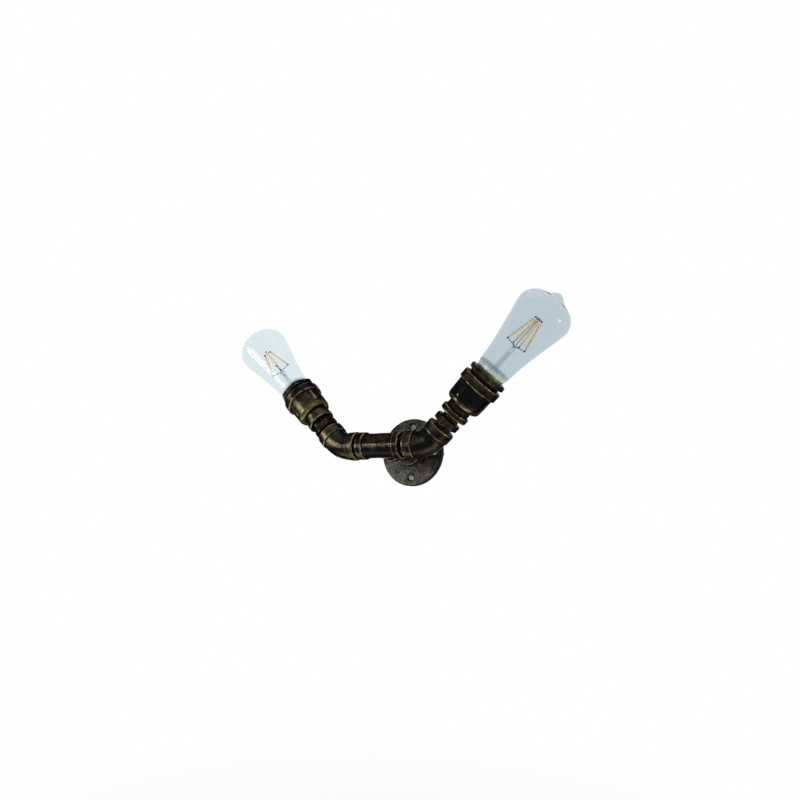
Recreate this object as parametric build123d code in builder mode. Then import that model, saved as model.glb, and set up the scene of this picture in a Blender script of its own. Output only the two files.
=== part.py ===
from build123d import *
import os
from math import cos, pi, radians, sin, tan

# Industrial pipe wall light: a round floor flange carries a pipe tee on a nipple, and each run of the
# tee carries a 45 degree elbow, a hexagon nipple, a ribbed reducing socket, a hexagon bushing and a
# lampholder with a pear-shaped filament lamp.
# Millimetres. X runs along the wall, +Y into the wall, +Z up. The origin is the centre of the flange's
# back face. A station is a distance along an arm from the middle of its elbow.

# ---- wall flange and its screws ----
flange_radius = 42.5
flange_thickness = 6.0
flange_rim_round = 1.2
flange_back_round = 0.6
hub_radius = 17.0
hub_height = 9.5
hub_root_round = 2.5
hub_edge_round = 1.0
screw_circle_radius = 31.5
screw_count = 4
screw_hole_radius = 3.0
sink_radius = 5.8
sink_depth = 3.4
screw_clearance = 0.3
screw_head_radius = 4.0
screw_head_edge = 0.5
screw_head_dome = 1.0
screw_head_top_radius = 2.8
screw_core_radius = 1.9
screw_length_in_wall = 24.0
screw_point_length = 4.0
recess_width = 1.2
recess_length = 4.6
recess_depth = 1.3

# ---- half inch pipe ----
thread_radius = 10.4
pipe_radius = 10.65
pipe_bore_radius = 7.9
thread_runout = 1.0
pipe_edge_round = 0.2
thread_engagement = 13.0
turning_clearance = 0.2
passage_radius = 9.3

# ---- tee ----
wall_to_run = 78.0
tee_reach = 29.0
tee_body_radius = 14.6
tee_band_radius = 16.4
tee_band_width = 9.0
tee_throat_round = 3.0
band_round = 1.4
band_root_round = 0.8

# ---- elbows ----
left_run_gap = 3.0
right_run_gap = 5.0
elbow_reach = 25.5
elbow_angle = 45.0
elbow_body_radius = 15.6
elbow_band_radius = 16.8
elbow_band_width = 11.8

# ---- hexagon nipples ----
elbow_to_hex_gap = 4.7
hex_nipple_flats = 26.8
hex_nipple_width = 7.8
hex_to_socket_gap = 5.7
hex_nipple_bevel = 0.7
left_nipple_turn = 45.0
right_nipple_turn = 1.0

# ---- reducing sockets ----
small_band_stand = 2.6
small_band_width = 7.1
shoulder_step = 6.5
socket_neck_length = 7.2
shoulder_height = 5.6
socket_wall = 2.5
socket_body_flare = 1.0
socket_body_length = 20.0
socket_floor_web = 4.2
wide_band_stand = 2.3
wide_band_width = 11.0
rib_count = 4
rib_width = 3.0
rib_stand = 2.4
rib_root_depth = 2.0
rib_toe_set_in = 1.4
rib_toe_start = 1.5
rib_toe_end = 5.0
rib_toe_round = 1.2
rib_shoulder_round = 1.6
left_rib_turn = 60.0
right_rib_turn = 86.0

# ---- hexagon bushings ----
band_to_hex_gap = 3.4
bushing_hex_stand = 0.3
bushing_hex_width = 6.0
bushing_hex_bevel = 1.0
bushing_wall = 3.0
bushing_entry = 10.0
bushing_relief = 1.0
left_hex_turn = 33.0
right_hex_turn = 40.5

# ---- lampholders ----
holder_clearance = 0.3
holder_collar_wall = 3.1
holder_ledge = 1.0
holder_floor_thickness = 8.8
holder_foot_round = 1.0
holder_rim_round = 0.5
cap_well_depth = 5.5
shell_clearance = 0.3
shell_wall = 0.5
shell_lip = 1.0
shell_lip_round = 0.2
shell_foot_width = 2.0
rim_below_mouth = 8.5
contact_strip_width = 8.0
contact_strip_thickness = 0.8
contact_strip_length = 16.0
contact_spring_gap = 0.4
terminal_spread = 10.0
terminal_head_radius = 3.2
terminal_head_height = 2.4
terminal_shank_radius = 1.7
terminal_shank_length = 3.0
terminal_pocket_depth = 4.6
terminal_pocket_radius = 3.7
terminal_slot_width = 0.9
terminal_slot_length = 9.6
terminal_slot_depth = 1.0

# ---- lamps ----
bulb_length = 144.5
cap_radius = 13.1
cap_wall = 0.4
cap_length = 20.0
cap_foot_width = 2.2
cap_foot_taper = 2.2
cap_foot_round = 1.6
insulator_height = 4.0
insulator_foot_radius = 6.0
insulator_foot_round = 0.4
insulator_edge_height = 1.2
insulator_edge_round = 0.5
tip_radius = 4.8
tip_height = 1.5
tip_round = 1.0
glass_wall = 0.9
glass_mouth_gap = 1.0
glass_radius = 32.0
dome_height = 21.5
pip_height = 4.5
taper_profile = ((0.19, 0.25), (0.55, 0.55), (0.83, 0.86))
dome_angles = (32.0, 56.0)
pip_foot = (9.1, -0.3)
pip_side = (5.6, 2.5)
neck_in_cap = 7.5
stem_flare_height = 9.0
stem_radius = 3.8
stem_tip_radius = 2.9
stem_wall = 1.0
stem_bead_radius = 3.4
stem_bead_height = 4.0
stem_bead_run_in = 2.0
stem_bead_round = 1.2
stem_flare_round = 5.0
stem_flare_lip = 1.4
stem_to_lower_ring = 4.5
upper_ring_below_shoulder = 8.0
filament_span = 35.1
lower_ring_radius = 12.4
upper_ring_radius = 4.6
filament_count = 4
filament_radius = 0.95
crimp_radius = 0.8
crimp_length = 2.2
wire_radius = 0.4
lead_spread = 1.3
lead_height = 2.0
post_above_ring = 1.0
left_filament_turn = 20.0
right_filament_turn = 45.0

# ---- radii that follow from the lamp's cap outwards ----
shell_bore_radius = cap_radius + shell_clearance
shell_radius = shell_bore_radius + shell_wall
holder_collar_radius = shell_radius + holder_collar_wall
holder_body_radius = holder_collar_radius + holder_ledge
cavity_radius = holder_body_radius + holder_clearance
bushing_bore_radius = holder_collar_radius + holder_clearance
bushing_thread_radius = bushing_bore_radius + bushing_wall
bushing_hex_flats = 2 * (bushing_thread_radius + bushing_hex_stand)
socket_body_radius = cavity_radius + socket_wall
socket_flared_radius = socket_body_radius + socket_body_flare
wide_band_radius = socket_flared_radius + wide_band_stand
socket_neck_radius = socket_body_radius - shoulder_step
small_band_radius = socket_neck_radius + small_band_stand
insulator_top_radius = cap_radius - cap_foot_taper
glass_neck_radius = cap_radius - cap_wall
glass_mouth_radius = bushing_bore_radius - glass_mouth_gap

# ---- stations along an arm, worked out from the sizes above ----
hex_start = elbow_reach + elbow_to_hex_gap
hex_end = hex_start + hex_nipple_width
socket_start = hex_end + hex_to_socket_gap
small_band_end = socket_start + small_band_width
shoulder_start = small_band_end + socket_neck_length
body_start = shoulder_start + shoulder_height
wide_band_start = body_start + socket_body_length
wide_band_end = wide_band_start + wide_band_width
bushing_start = wide_band_end - bushing_entry
bushing_hex_start = wide_band_end + band_to_hex_gap
mouth = bushing_hex_start + bushing_hex_width
holder_rim = mouth - rim_below_mouth
cavity_floor = socket_start + thread_engagement + holder_clearance + socket_floor_web
contact_floor = cavity_floor + holder_floor_thickness
shell_floor = contact_floor + cap_well_depth
tip_contact_start = contact_floor + 2 * contact_strip_thickness + contact_spring_gap
insulator_start = tip_contact_start + tip_height
cap_start = insulator_start + insulator_height
cap_end = cap_start + cap_length
neck_start = cap_end - neck_in_cap
pip_top = tip_contact_start + bulb_length
glass_top = pip_top - pip_height
glass_shoulder = glass_top - dome_height
upper_ring = glass_shoulder - upper_ring_below_shoulder
lower_ring = upper_ring - filament_span
stem_top = lower_ring - stem_to_lower_ring

# ---- frames: each local Z runs out along the piece's own axis ----
wall_frame = Plane(origin=(0, 0, 0), x_dir=(1, 0, 0), z_dir=(0, -1, 0))
branch_frame = Plane(origin=(0, -wall_to_run, 0), x_dir=(1, 0, 0), z_dir=(0, 1, 0))
run_frames = {
    "left": Plane(origin=(0, -wall_to_run, 0), x_dir=(0, -1, 0), z_dir=(-1, 0, 0)),
    "right": Plane(origin=(0, -wall_to_run, 0), x_dir=(0, -1, 0), z_dir=(1, 0, 0)),
}
run_gaps = {"left": left_run_gap, "right": right_run_gap}
rib_turns = {"left": left_rib_turn, "right": right_rib_turn}
nipple_turns = {"left": left_nipple_turn, "right": right_nipple_turn}
hex_turns = {"left": left_hex_turn, "right": right_hex_turn}
filament_turns = {"left": left_filament_turn, "right": right_filament_turn}


def elbow_frame(side):
    """The frame at an elbow's middle, with its Z back along the run towards the tee."""
    outward = run_frames[side].z_dir
    middle = run_frames[side].origin + outward * (tee_reach + run_gaps[side] + elbow_reach)
    return Plane(origin=middle, x_dir=(0, -1, 0), z_dir=-outward)


def arm_frame(side):
    """The frame at an elbow's middle, with its Z out along the arm and its X away from the wall."""
    outward = run_frames[side].z_dir
    rise = radians(elbow_angle)
    along = outward * cos(rise) + Vector(0, 0, sin(rise))
    return Plane(origin=elbow_frame(side).origin, x_dir=(0, -1, 0), z_dir=along)


def section_of(frame):
    """The plane through a frame's axis, in which x is a radius and y is a station."""
    return Plane(origin=frame.origin, x_dir=frame.x_dir, z_dir=-frame.y_dir)


def turned_frame(frame, degrees):
    """The same frame turned about its own axis."""
    angle = radians(degrees)
    across = frame.x_dir * cos(angle) + frame.y_dir * sin(angle)
    return Plane(origin=frame.origin, x_dir=across, z_dir=frame.z_dir)


def turn(frame, outline, mode=Mode.ADD):
    """Turn a closed outline of (radius, station, rounding) corners about the frame's axis."""
    corners = [(radius, station) for radius, station, rounding in outline]
    roundings = [rounding for radius, station, rounding in outline]
    with BuildSketch(section_of(frame), mode=Mode.PRIVATE) as profile:
        with BuildLine():
            FilletPolyline(*corners, radius=roundings, close=True)
        make_face()
    revolve(profile.sketch, axis=Axis(frame.origin, frame.z_dir), mode=mode)


def rod(frame, radius, start, end, mode=Mode.ADD):
    """A round bar or bore along the frame's axis, from one station to another."""
    with BuildSketch(frame.offset(start), mode=Mode.PRIVATE) as disc:
        Circle(radius)
    extrude(disc.sketch, amount=end - start, mode=mode)


def bar(start, end, radius):
    """A round wire or bar between two points."""
    rod(Plane(origin=start, z_dir=end - start), radius, 0, (end - start).length)


def band(frame, radius, start, end, rounding=band_round):
    """A raised band at a fitting's end, with rounded edges."""
    turn(frame, [(0, start, 0), (radius, start, rounding), (radius, end, rounding), (0, end, 0)])


def chamfered_hexagon(frame, flats, start, end, bevel, turned):
    """A hexagon whose corners are bevelled at both ends by a 30 degree cone."""
    corner = flats / 2 / cos(pi / 6)
    end_radius = corner - bevel / tan(pi / 6)
    with BuildSketch(frame.offset(start), mode=Mode.PRIVATE) as hexagon:
        RegularPolygon(flats / 2, 6, major_radius=False, rotation=turned)
    extrude(hexagon.sketch, amount=end - start)
    cone = [(0, start, 0), (end_radius, start, 0), (corner, start + bevel, 0)]
    cone += [(corner, end - bevel, 0), (end_radius, end, 0), (0, end, 0)]
    turn(frame, cone, mode=Mode.INTERSECT)


# ---- wall flange, screws and nipple ----
def build_wall_flange():
    """A round flange with a threaded hub and four countersunk holes."""
    with BuildPart() as flange:
        hub_top = flange_thickness + hub_height
        outline = [(0, 0, 0), (flange_radius, 0, flange_back_round)]
        outline += [(flange_radius, flange_thickness, flange_rim_round)]
        outline += [(hub_radius, flange_thickness, hub_root_round), (hub_radius, hub_top, hub_edge_round)]
        turn(wall_frame, outline + [(0, hub_top, 0)])
        rod(wall_frame, thread_radius, 0, hub_top, mode=Mode.SUBTRACT)
        with Locations(wall_frame.offset(flange_thickness)):
            with PolarLocations(screw_circle_radius, screw_count, start_angle=90):
                Hole(screw_hole_radius, depth=flange_thickness)
                with Locations((0, 0, -sink_depth / 2)):
                    Cone(screw_hole_radius, sink_radius, sink_depth, mode=Mode.SUBTRACT)
    return flange.part


def build_wall_screws():
    """Raised-head wall screws with a cross recess, seated in the flange's countersinks."""
    slope = (sink_radius - screw_hole_radius) / sink_depth
    sink_floor = flange_thickness - sink_depth
    shank_radius = screw_hole_radius - screw_clearance
    head_under = sink_floor - screw_clearance / slope
    head_edge = sink_floor + (screw_head_radius - screw_hole_radius) / slope
    head_top = head_edge + screw_head_edge + screw_head_dome
    with BuildPart() as screws:
        for turned in range(screw_count):
            angle = radians(90 + turned * 360 / screw_count)
            centre = (screw_circle_radius * cos(angle), 0, screw_circle_radius * sin(angle))
            frame = Plane(origin=centre, x_dir=(1, 0, 0), z_dir=(0, -1, 0))
            length = screw_length_in_wall
            outline = [(0, -length, 0), (screw_core_radius, screw_point_length - length, 0)]
            outline += [(screw_core_radius, 0, 0), (shank_radius, 0, 0), (shank_radius, head_under, 0)]
            outline += [(screw_head_radius, head_edge, 0)]
            outline += [(screw_head_radius, head_edge + screw_head_edge, 0)]
            outline += [(screw_head_top_radius, head_top, 0), (0, head_top, 0)]
            turn(frame, outline)
            with BuildSketch(frame.offset(head_top), mode=Mode.PRIVATE) as cross:
                Rectangle(recess_length, recess_width)
                Rectangle(recess_width, recess_length)
            extrude(cross.sketch, amount=-recess_depth, mode=Mode.SUBTRACT)
    return screws.part


def build_wall_nipple():
    """A pipe nipple with a plain middle between its two threads."""
    hub_top = flange_thickness + hub_height
    branch_end = wall_to_run - tee_reach
    start, end = hub_top - thread_engagement, branch_end + thread_engagement
    with BuildPart() as nipple:
        rod(wall_frame, thread_radius, start, end)
        band(wall_frame, pipe_radius, hub_top + thread_runout, branch_end - thread_runout, pipe_edge_round)
        rod(wall_frame, pipe_bore_radius, start, end, mode=Mode.SUBTRACT)
    return nipple.part


# ---- tee and run nipples ----
def build_tee():
    """A pipe tee: a straight run along the wall and a branch back to the wall nipple."""
    socket_radius = thread_radius + turning_clearance
    right_run = run_frames["right"]
    with BuildPart() as tee:
        rod(right_run, tee_body_radius, -tee_reach, tee_reach)
        rod(branch_frame, tee_body_radius, 0, tee_reach)
        throat = tee.edges().filter_by(lambda edge: edge.geom_type not in (GeomType.CIRCLE, GeomType.LINE))
        fillet(throat, radius=tee_throat_round)
        for frame in (run_frames["left"], right_run, branch_frame):
            band(frame, tee_band_radius, tee_reach - tee_band_width, tee_reach)
        rod(right_run, passage_radius, -tee_reach, tee_reach, mode=Mode.SUBTRACT)
        rod(branch_frame, passage_radius, 0, tee_reach, mode=Mode.SUBTRACT)
        for frame in (run_frames["left"], right_run):
            rod(frame, thread_radius, tee_reach - thread_engagement, tee_reach, mode=Mode.SUBTRACT)
        rod(branch_frame, socket_radius, tee_reach - thread_engagement, tee_reach, mode=Mode.SUBTRACT)
    return tee.part


def build_run_nipple(side):
    """A close nipple, threaded all along, between the tee and an elbow."""
    start = tee_reach - thread_engagement
    end = tee_reach + run_gaps[side] + thread_engagement
    with BuildPart() as nipple:
        rod(run_frames[side], thread_radius, start, end)
        rod(run_frames[side], pipe_bore_radius, start, end, mode=Mode.SUBTRACT)
    return nipple.part


# ---- pipe fittings of an arm ----
def build_elbow(side):
    """A 45 degree elbow: a bent tube with a rounded band and a threaded socket at each end."""
    run_leg, arm_leg = elbow_frame(side), arm_frame(side)
    tangent = elbow_reach - elbow_band_width
    bend_radius = tangent / tan(radians(elbow_angle / 2))
    ends = [run_leg.offset(elbow_reach).origin, run_leg.origin, arm_leg.offset(elbow_reach).origin]
    start_plane = Plane(origin=ends[0], x_dir=(0, -1, 0), z_dir=-run_leg.z_dir)
    with BuildLine() as route:
        FilletPolyline(*ends, radius=bend_radius)
    with BuildSketch(start_plane) as outside:
        Circle(elbow_body_radius)
    with BuildSketch(start_plane) as inside:
        Circle(passage_radius)
    with BuildPart() as elbow:
        sweep(outside.sketch, path=route.line)
        for frame in (run_leg, arm_leg):
            band(frame, elbow_band_radius, elbow_reach - elbow_band_width, elbow_reach)
        sweep(inside.sketch, path=route.line, mode=Mode.SUBTRACT)
        for frame, radius in ((run_leg, thread_radius + turning_clearance), (arm_leg, thread_radius)):
            rod(frame, radius, elbow_reach - thread_engagement, elbow_reach, mode=Mode.SUBTRACT)
    return elbow.part


def build_hex_nipple(side):
    """A hexagon nipple: two male threads with a spanner hexagon between them."""
    frame = arm_frame(side)
    start, end = elbow_reach - thread_engagement, socket_start + thread_engagement
    with BuildPart() as nipple:
        chamfered_hexagon(frame, hex_nipple_flats, hex_start, hex_end, hex_nipple_bevel, nipple_turns[side])
        rod(frame, thread_radius, start, end)
        rod(frame, pipe_bore_radius, start, end, mode=Mode.SUBTRACT)
    return nipple.part


def build_reducing_socket(side):
    """A bell reducer: a narrow banded neck, a rounded shoulder and a ribbed body with a wide band."""
    frame = arm_frame(side)
    outline = [(0, socket_start, 0), (small_band_radius, socket_start, band_round)]
    outline += [(small_band_radius, small_band_end, band_round)]
    outline += [(socket_neck_radius, small_band_end, band_root_round)]
    outline += [(socket_neck_radius, shoulder_start, band_root_round)]
    outline += [(socket_body_radius, shoulder_start, shoulder_height)]
    outline += [(socket_flared_radius, wide_band_start, band_root_round)]
    outline += [(wide_band_radius, wide_band_start, band_round)]
    outline += [(wide_band_radius, wide_band_end, band_round), (0, wide_band_end, 0)]
    rib_top = wide_band_start + band_round
    rib_root = socket_body_radius - rib_root_depth
    rib_radius = socket_body_radius + rib_stand
    with BuildPart() as socket:
        turn(frame, outline)
        for turned in range(rib_count):
            rib_frame = turned_frame(frame, rib_turns[side] + turned * 360 / rib_count)
            corners = [(rib_root, body_start + rib_toe_start)]
            corners += [(rib_radius - rib_toe_set_in, body_start + rib_toe_start)]
            corners += [(rib_radius, body_start + rib_toe_end), (rib_radius, rib_top), (rib_root, rib_top)]
            roundings = [0, rib_toe_round, rib_shoulder_round, 0, 0]
            with BuildSketch(section_of(rib_frame), mode=Mode.PRIVATE) as rib:
                with BuildLine():
                    FilletPolyline(*corners, radius=roundings, close=True)
                make_face()
            extrude(rib.sketch, amount=rib_width / 2, both=True)
        rod(frame, thread_radius, socket_start, cavity_floor, mode=Mode.SUBTRACT)
        rod(frame, cavity_radius, cavity_floor, wide_band_start, mode=Mode.SUBTRACT)
        rod(frame, bushing_thread_radius, wide_band_start, wide_band_end, mode=Mode.SUBTRACT)
    return socket.part


def build_hex_bushing(side):
    """A hexagon bushing: its male thread clamps the lampholder, and the lamp stands in its bore."""
    frame = arm_frame(side)
    relief_radius = bushing_thread_radius - bushing_relief
    with BuildPart() as bushing:
        turned = hex_turns[side]
        chamfered_hexagon(frame, bushing_hex_flats, bushing_hex_start, mouth, bushing_hex_bevel, turned)
        rod(frame, relief_radius, wide_band_end, bushing_hex_start)
        rod(frame, bushing_thread_radius, bushing_start, wide_band_end)
        rod(frame, bushing_bore_radius, bushing_start, mouth, mode=Mode.SUBTRACT)
    return bushing.part


# ---- lampholders ----
def build_lampholder_body(side):
    """A porcelain lampholder with a ledge under the bushing, a shell seat and a contact well."""
    frame = arm_frame(side)
    outline = [(0, cavity_floor, 0), (holder_body_radius, cavity_floor, holder_foot_round)]
    outline += [(holder_body_radius, bushing_start, 0), (holder_collar_radius, bushing_start, 0)]
    outline += [(holder_collar_radius, holder_rim, holder_rim_round), (0, holder_rim, 0)]
    well_radius = shell_radius - shell_foot_width
    with BuildPart() as body:
        turn(frame, outline)
        rod(frame, shell_radius, shell_floor, holder_rim, mode=Mode.SUBTRACT)
        rod(frame, well_radius, contact_floor, shell_floor, mode=Mode.SUBTRACT)
        for end in (-1, 1):
            centre = frame.origin + frame.x_dir * (end * terminal_spread)
            pocket = Plane(origin=centre, x_dir=frame.x_dir, z_dir=frame.z_dir)
            pocket_floor = cavity_floor + terminal_pocket_depth
            rod(pocket, terminal_pocket_radius, cavity_floor, pocket_floor, mode=Mode.SUBTRACT)
            rod(pocket, terminal_shank_radius, pocket_floor, pocket_floor + terminal_shank_length,
                mode=Mode.SUBTRACT)
    return body.part


def build_screw_shell(side):
    """The brass screw shell: a tube with a turned-in foot and a lip over the porcelain rim."""
    frame = arm_frame(side)
    foot_bore = shell_radius - shell_foot_width
    outline = [(foot_bore, shell_floor, 0), (shell_radius, shell_floor, 0), (shell_radius, holder_rim, 0)]
    outline += [(shell_radius + shell_lip, holder_rim, 0)]
    outline += [(shell_radius + shell_lip, holder_rim + shell_wall, shell_lip_round)]
    outline += [(shell_bore_radius, holder_rim + shell_wall, shell_lip_round)]
    outline += [(shell_bore_radius, shell_floor + shell_wall, 0), (foot_bore, shell_floor + shell_wall, 0)]
    with BuildPart() as shell:
        turn(frame, outline)
    return shell.part


def build_centre_contact(side):
    """A sprung brass strip, folded back on itself, that presses on the lamp's tip."""
    frame = arm_frame(side)
    thick = contact_strip_thickness
    half = contact_strip_length / 2
    top = tip_contact_start
    corners = [(-half, contact_floor), (half, contact_floor), (half, top), (-half / 2, top)]
    corners += [(-half / 2, top - thick), (half - thick, top - thick)]
    corners += [(half - thick, contact_floor + thick), (-half, contact_floor + thick)]
    with BuildPart() as contact:
        with BuildSketch(section_of(frame)):
            with BuildLine():
                Polyline(*corners, close=True)
            make_face()
        extrude(amount=contact_strip_width / 2, both=True)
    return contact.part


def build_terminal_screws(side):
    """Two cheese-head terminal screws in pockets at the back of the lampholder."""
    frame = arm_frame(side)
    seat = cavity_floor + terminal_pocket_depth
    with BuildPart() as screws:
        for end in (-1, 1):
            centre = frame.origin + frame.x_dir * (end * terminal_spread)
            pocket = Plane(origin=centre, x_dir=frame.x_dir, z_dir=frame.z_dir)
            head = seat - terminal_head_height
            rod(pocket, terminal_head_radius, head, seat)
            rod(pocket, terminal_shank_radius, seat, seat + terminal_shank_length)
            with BuildSketch(pocket.offset(head), mode=Mode.PRIVATE) as slot:
                Rectangle(terminal_slot_length, terminal_slot_width)
            extrude(slot.sketch, amount=terminal_slot_depth, mode=Mode.SUBTRACT)
    return screws.part


# ---- lamps ----
def glass_outline(inset):
    """Draw the glass from its neck to its pip, as a half section set in from the outside."""
    taper = glass_radius - glass_mouth_radius
    taper_length = glass_shoulder - mouth
    neck = (glass_neck_radius - inset, neck_start)
    neck_top = (glass_neck_radius - inset, cap_end)
    shoulder = (glass_radius - inset, glass_shoulder)
    rises = [(glass_mouth_radius - inset, mouth)]
    for share, swell in taper_profile:
        rises.append((glass_mouth_radius + taper * swell - inset, mouth + taper_length * share))
    dome = []
    for degrees in dome_angles:
        across = (glass_radius - inset) * cos(radians(degrees))
        dome.append((across, glass_shoulder + (dome_height - inset) * sin(radians(degrees))))
    for radius, rise in (pip_foot, pip_side):
        dome.append((radius - inset, glass_top + rise - inset))
    Line((0, neck_start), neck)
    Line(neck, neck_top)
    Spline(neck_top, *rises, shoulder, tangents=[(0, 1), (0, 1)])
    Spline(shoulder, *dome, (0, pip_top - inset), tangents=[(0, 1), (-1, 0)])
    Line((0, pip_top - inset), (0, neck_start))


def build_bulb_glass(side):
    """The clear blown glass: a thin pear-shaped shell with its pip, open at the neck."""
    frame = arm_frame(side)
    axis = Axis(frame.origin, frame.z_dir)
    with BuildPart() as glass:
        with BuildSketch(section_of(frame)):
            with BuildLine():
                glass_outline(0)
            make_face()
        revolve(axis=axis)
        with BuildSketch(section_of(frame)):
            with BuildLine():
                glass_outline(glass_wall)
            make_face()
        revolve(axis=axis, mode=Mode.SUBTRACT)
    return glass.part


def build_bulb_cap(side):
    """The lamp's screw cap: a thin brass cup with a turned-in foot around its insulator."""
    frame = arm_frame(side)
    inner = cap_radius - cap_wall
    foot_bore = insulator_top_radius - cap_foot_width
    outline = [(foot_bore, cap_start, 0), (insulator_top_radius, cap_start, 0)]
    outline += [(cap_radius, cap_start + cap_foot_round, 0), (cap_radius, cap_end, 0), (inner, cap_end, 0)]
    outline += [(inner, cap_start + cap_foot_round + cap_wall, 0)]
    outline += [(insulator_top_radius, cap_start + cap_wall, 0), (foot_bore, cap_start + cap_wall, 0)]
    with BuildPart() as cap:
        turn(frame, outline)
    return cap.part


def build_bulb_insulator(side):
    """The black glass insulator between the cap and the tip."""
    edge_start = cap_start - insulator_edge_height
    outline = [(0, insulator_start, 0), (insulator_foot_radius, insulator_start, insulator_foot_round)]
    outline += [(insulator_top_radius, edge_start, insulator_edge_round)]
    outline += [(insulator_top_radius, cap_start, 0)]
    with BuildPart() as insulator:
        turn(arm_frame(side), outline + [(0, cap_start, 0)])
    return insulator.part


def build_bulb_tip_contact(side):
    """The solder tip that meets the lampholder's contact strip."""
    outline = [(0, tip_contact_start, 0), (tip_radius, tip_contact_start, tip_round)]
    outline += [(tip_radius, insulator_start, 0), (0, insulator_start, 0)]
    with BuildPart() as tip:
        turn(arm_frame(side), outline)
    return tip.part


def build_bulb_stem(side):
    """The glass stem: a flare sealed to the neck, a hollow column and a bead that holds the wires."""
    flare_radius = glass_neck_radius - glass_wall
    flare_top = neck_start + stem_flare_height
    bead_start = stem_top - stem_bead_height
    column_end = bead_start - stem_bead_run_in
    hollow_round = stem_flare_round - stem_wall
    outline = [(flare_radius, neck_start, 0), (flare_radius, neck_start + stem_wall, 0)]
    outline += [(stem_radius, flare_top, stem_flare_round)]
    outline += [(stem_tip_radius, column_end, stem_bead_run_in)]
    outline += [(stem_bead_radius, bead_start, stem_bead_round)]
    outline += [(stem_bead_radius, stem_top, stem_bead_round), (0, stem_top, 0)]
    outline += [(0, column_end, 0), (stem_tip_radius - stem_wall, column_end, 0)]
    outline += [(stem_radius - stem_wall, flare_top, hollow_round)]
    outline += [(flare_radius - stem_flare_lip, neck_start, 0)]
    with BuildPart() as stem:
        turn(arm_frame(side), outline)
    return stem.part


def filament_ends(side):
    """The lower and upper end points of each filament stick, crimps included."""
    frame = arm_frame(side)
    ends = []
    for turned in range(filament_count):
        around = turned_frame(frame, filament_turns[side] + turned * 360 / filament_count)
        lower = frame.origin + frame.z_dir * lower_ring + around.x_dir * lower_ring_radius
        upper = frame.origin + frame.z_dir * upper_ring + around.x_dir * upper_ring_radius
        ends.append((lower, upper))
    return ends


def build_bulb_support_wires(side):
    """Two lead-in wires that fork to the lower crimps, and a post with arms to the upper crimps."""
    frame = arm_frame(side)
    bead, top = frame.offset(stem_top).origin, frame.offset(upper_ring + post_above_ring).origin
    leads = turned_frame(frame, filament_turns[side] + 180 / filament_count).x_dir
    with BuildPart() as wires:
        bar(bead, top, wire_radius)
        for number, (lower, upper) in enumerate(filament_ends(side)):
            lead = leads if number < filament_count / 2 else -leads
            foot = bead + lead * lead_spread
            knee = foot + frame.z_dir * lead_height
            along = (upper - lower).normalized() * (crimp_length / 2)
            bar(foot, knee, wire_radius)
            bar(knee, lower, wire_radius)
            bar(top, upper, wire_radius)
            bar(lower - along, lower + along, crimp_radius)
            bar(upper - along, upper + along, crimp_radius)
    return wires.part


def build_bulb_filaments(side):
    """The straight LED filament sticks between the lower and the upper crimps."""
    with BuildPart() as filaments:
        for lower, upper in filament_ends(side):
            along = (upper - lower).normalized() * (crimp_length / 2)
            bar(lower + along, upper - along, filament_radius)
    return filaments.part


# ---- label and write every piece ----
pieces = {
    "wall_flange": build_wall_flange(),
    "wall_screws": build_wall_screws(),
    "wall_nipple": build_wall_nipple(),
    "tee": build_tee(),
}
arm_pieces = {
    "run_nipple": build_run_nipple,
    "elbow": build_elbow,
    "hex_nipple": build_hex_nipple,
    "reducing_socket": build_reducing_socket,
    "hex_bushing": build_hex_bushing,
    "lampholder_body": build_lampholder_body,
    "screw_shell": build_screw_shell,
    "centre_contact": build_centre_contact,
    "terminal_screws": build_terminal_screws,
    "bulb_glass": build_bulb_glass,
    "bulb_cap": build_bulb_cap,
    "bulb_insulator": build_bulb_insulator,
    "bulb_tip_contact": build_bulb_tip_contact,
    "bulb_stem": build_bulb_stem,
    "bulb_support_wires": build_bulb_support_wires,
    "bulb_filaments": build_bulb_filaments,
}
for side in ("left", "right"):
    for name, build in arm_pieces.items():
        pieces[f"{side}_{name}"] = build(side)

os.makedirs("parts", exist_ok=True)
for name, piece in pieces.items():
    piece.label = name
    export_step(piece, f"parts/{name}.step")
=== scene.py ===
"""Industrial pipe wall light: its finished surfaces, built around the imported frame.

Sizes are in millimetres and are put into Blender in metres. X runs along the wall, +Y into the wall and
+Z up, and the origin is the centre of the flange's back face. A station is a distance along an axis, and
on an arm it is counted from the middle of the elbow.
"""
import logging
import math
from collections.abc import Callable, Sequence
from dataclasses import dataclass, field
from enum import Enum

import bmesh
import bpy
import numpy as np
from mathutils import Matrix, Vector


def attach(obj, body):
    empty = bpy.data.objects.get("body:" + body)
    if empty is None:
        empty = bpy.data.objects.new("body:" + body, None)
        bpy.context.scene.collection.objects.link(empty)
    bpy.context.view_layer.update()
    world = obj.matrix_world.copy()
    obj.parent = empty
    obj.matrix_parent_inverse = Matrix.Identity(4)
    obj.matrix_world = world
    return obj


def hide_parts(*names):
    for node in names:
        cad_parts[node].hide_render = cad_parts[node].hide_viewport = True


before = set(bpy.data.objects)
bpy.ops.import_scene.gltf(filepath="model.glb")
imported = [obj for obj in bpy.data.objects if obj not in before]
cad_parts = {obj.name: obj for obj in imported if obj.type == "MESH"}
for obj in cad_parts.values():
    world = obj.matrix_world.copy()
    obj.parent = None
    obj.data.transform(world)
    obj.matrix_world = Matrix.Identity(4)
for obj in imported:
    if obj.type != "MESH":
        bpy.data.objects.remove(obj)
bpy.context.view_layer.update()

METRES = 0.001
SAME_POINT = 2e-6
LEAST_GAP = 1e-6
ARC_STEP = 0.2
FINE_ANGLES = 7200
BORE_ROWS = 8
WAVE_COUNT = 14
WAVE_LENGTHS = (5, 20)
LEAST_SQUARE = 0.04
# ridge marks wear, hollow marks painted shade, swell marks wear and painted highlight
CURVATURE_MARKS = {"ridge": (0.10, 0.42, 3), "hollow": (0.07, 0.4, 3), "swell": (0.045, 0.09, 8)}
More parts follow.
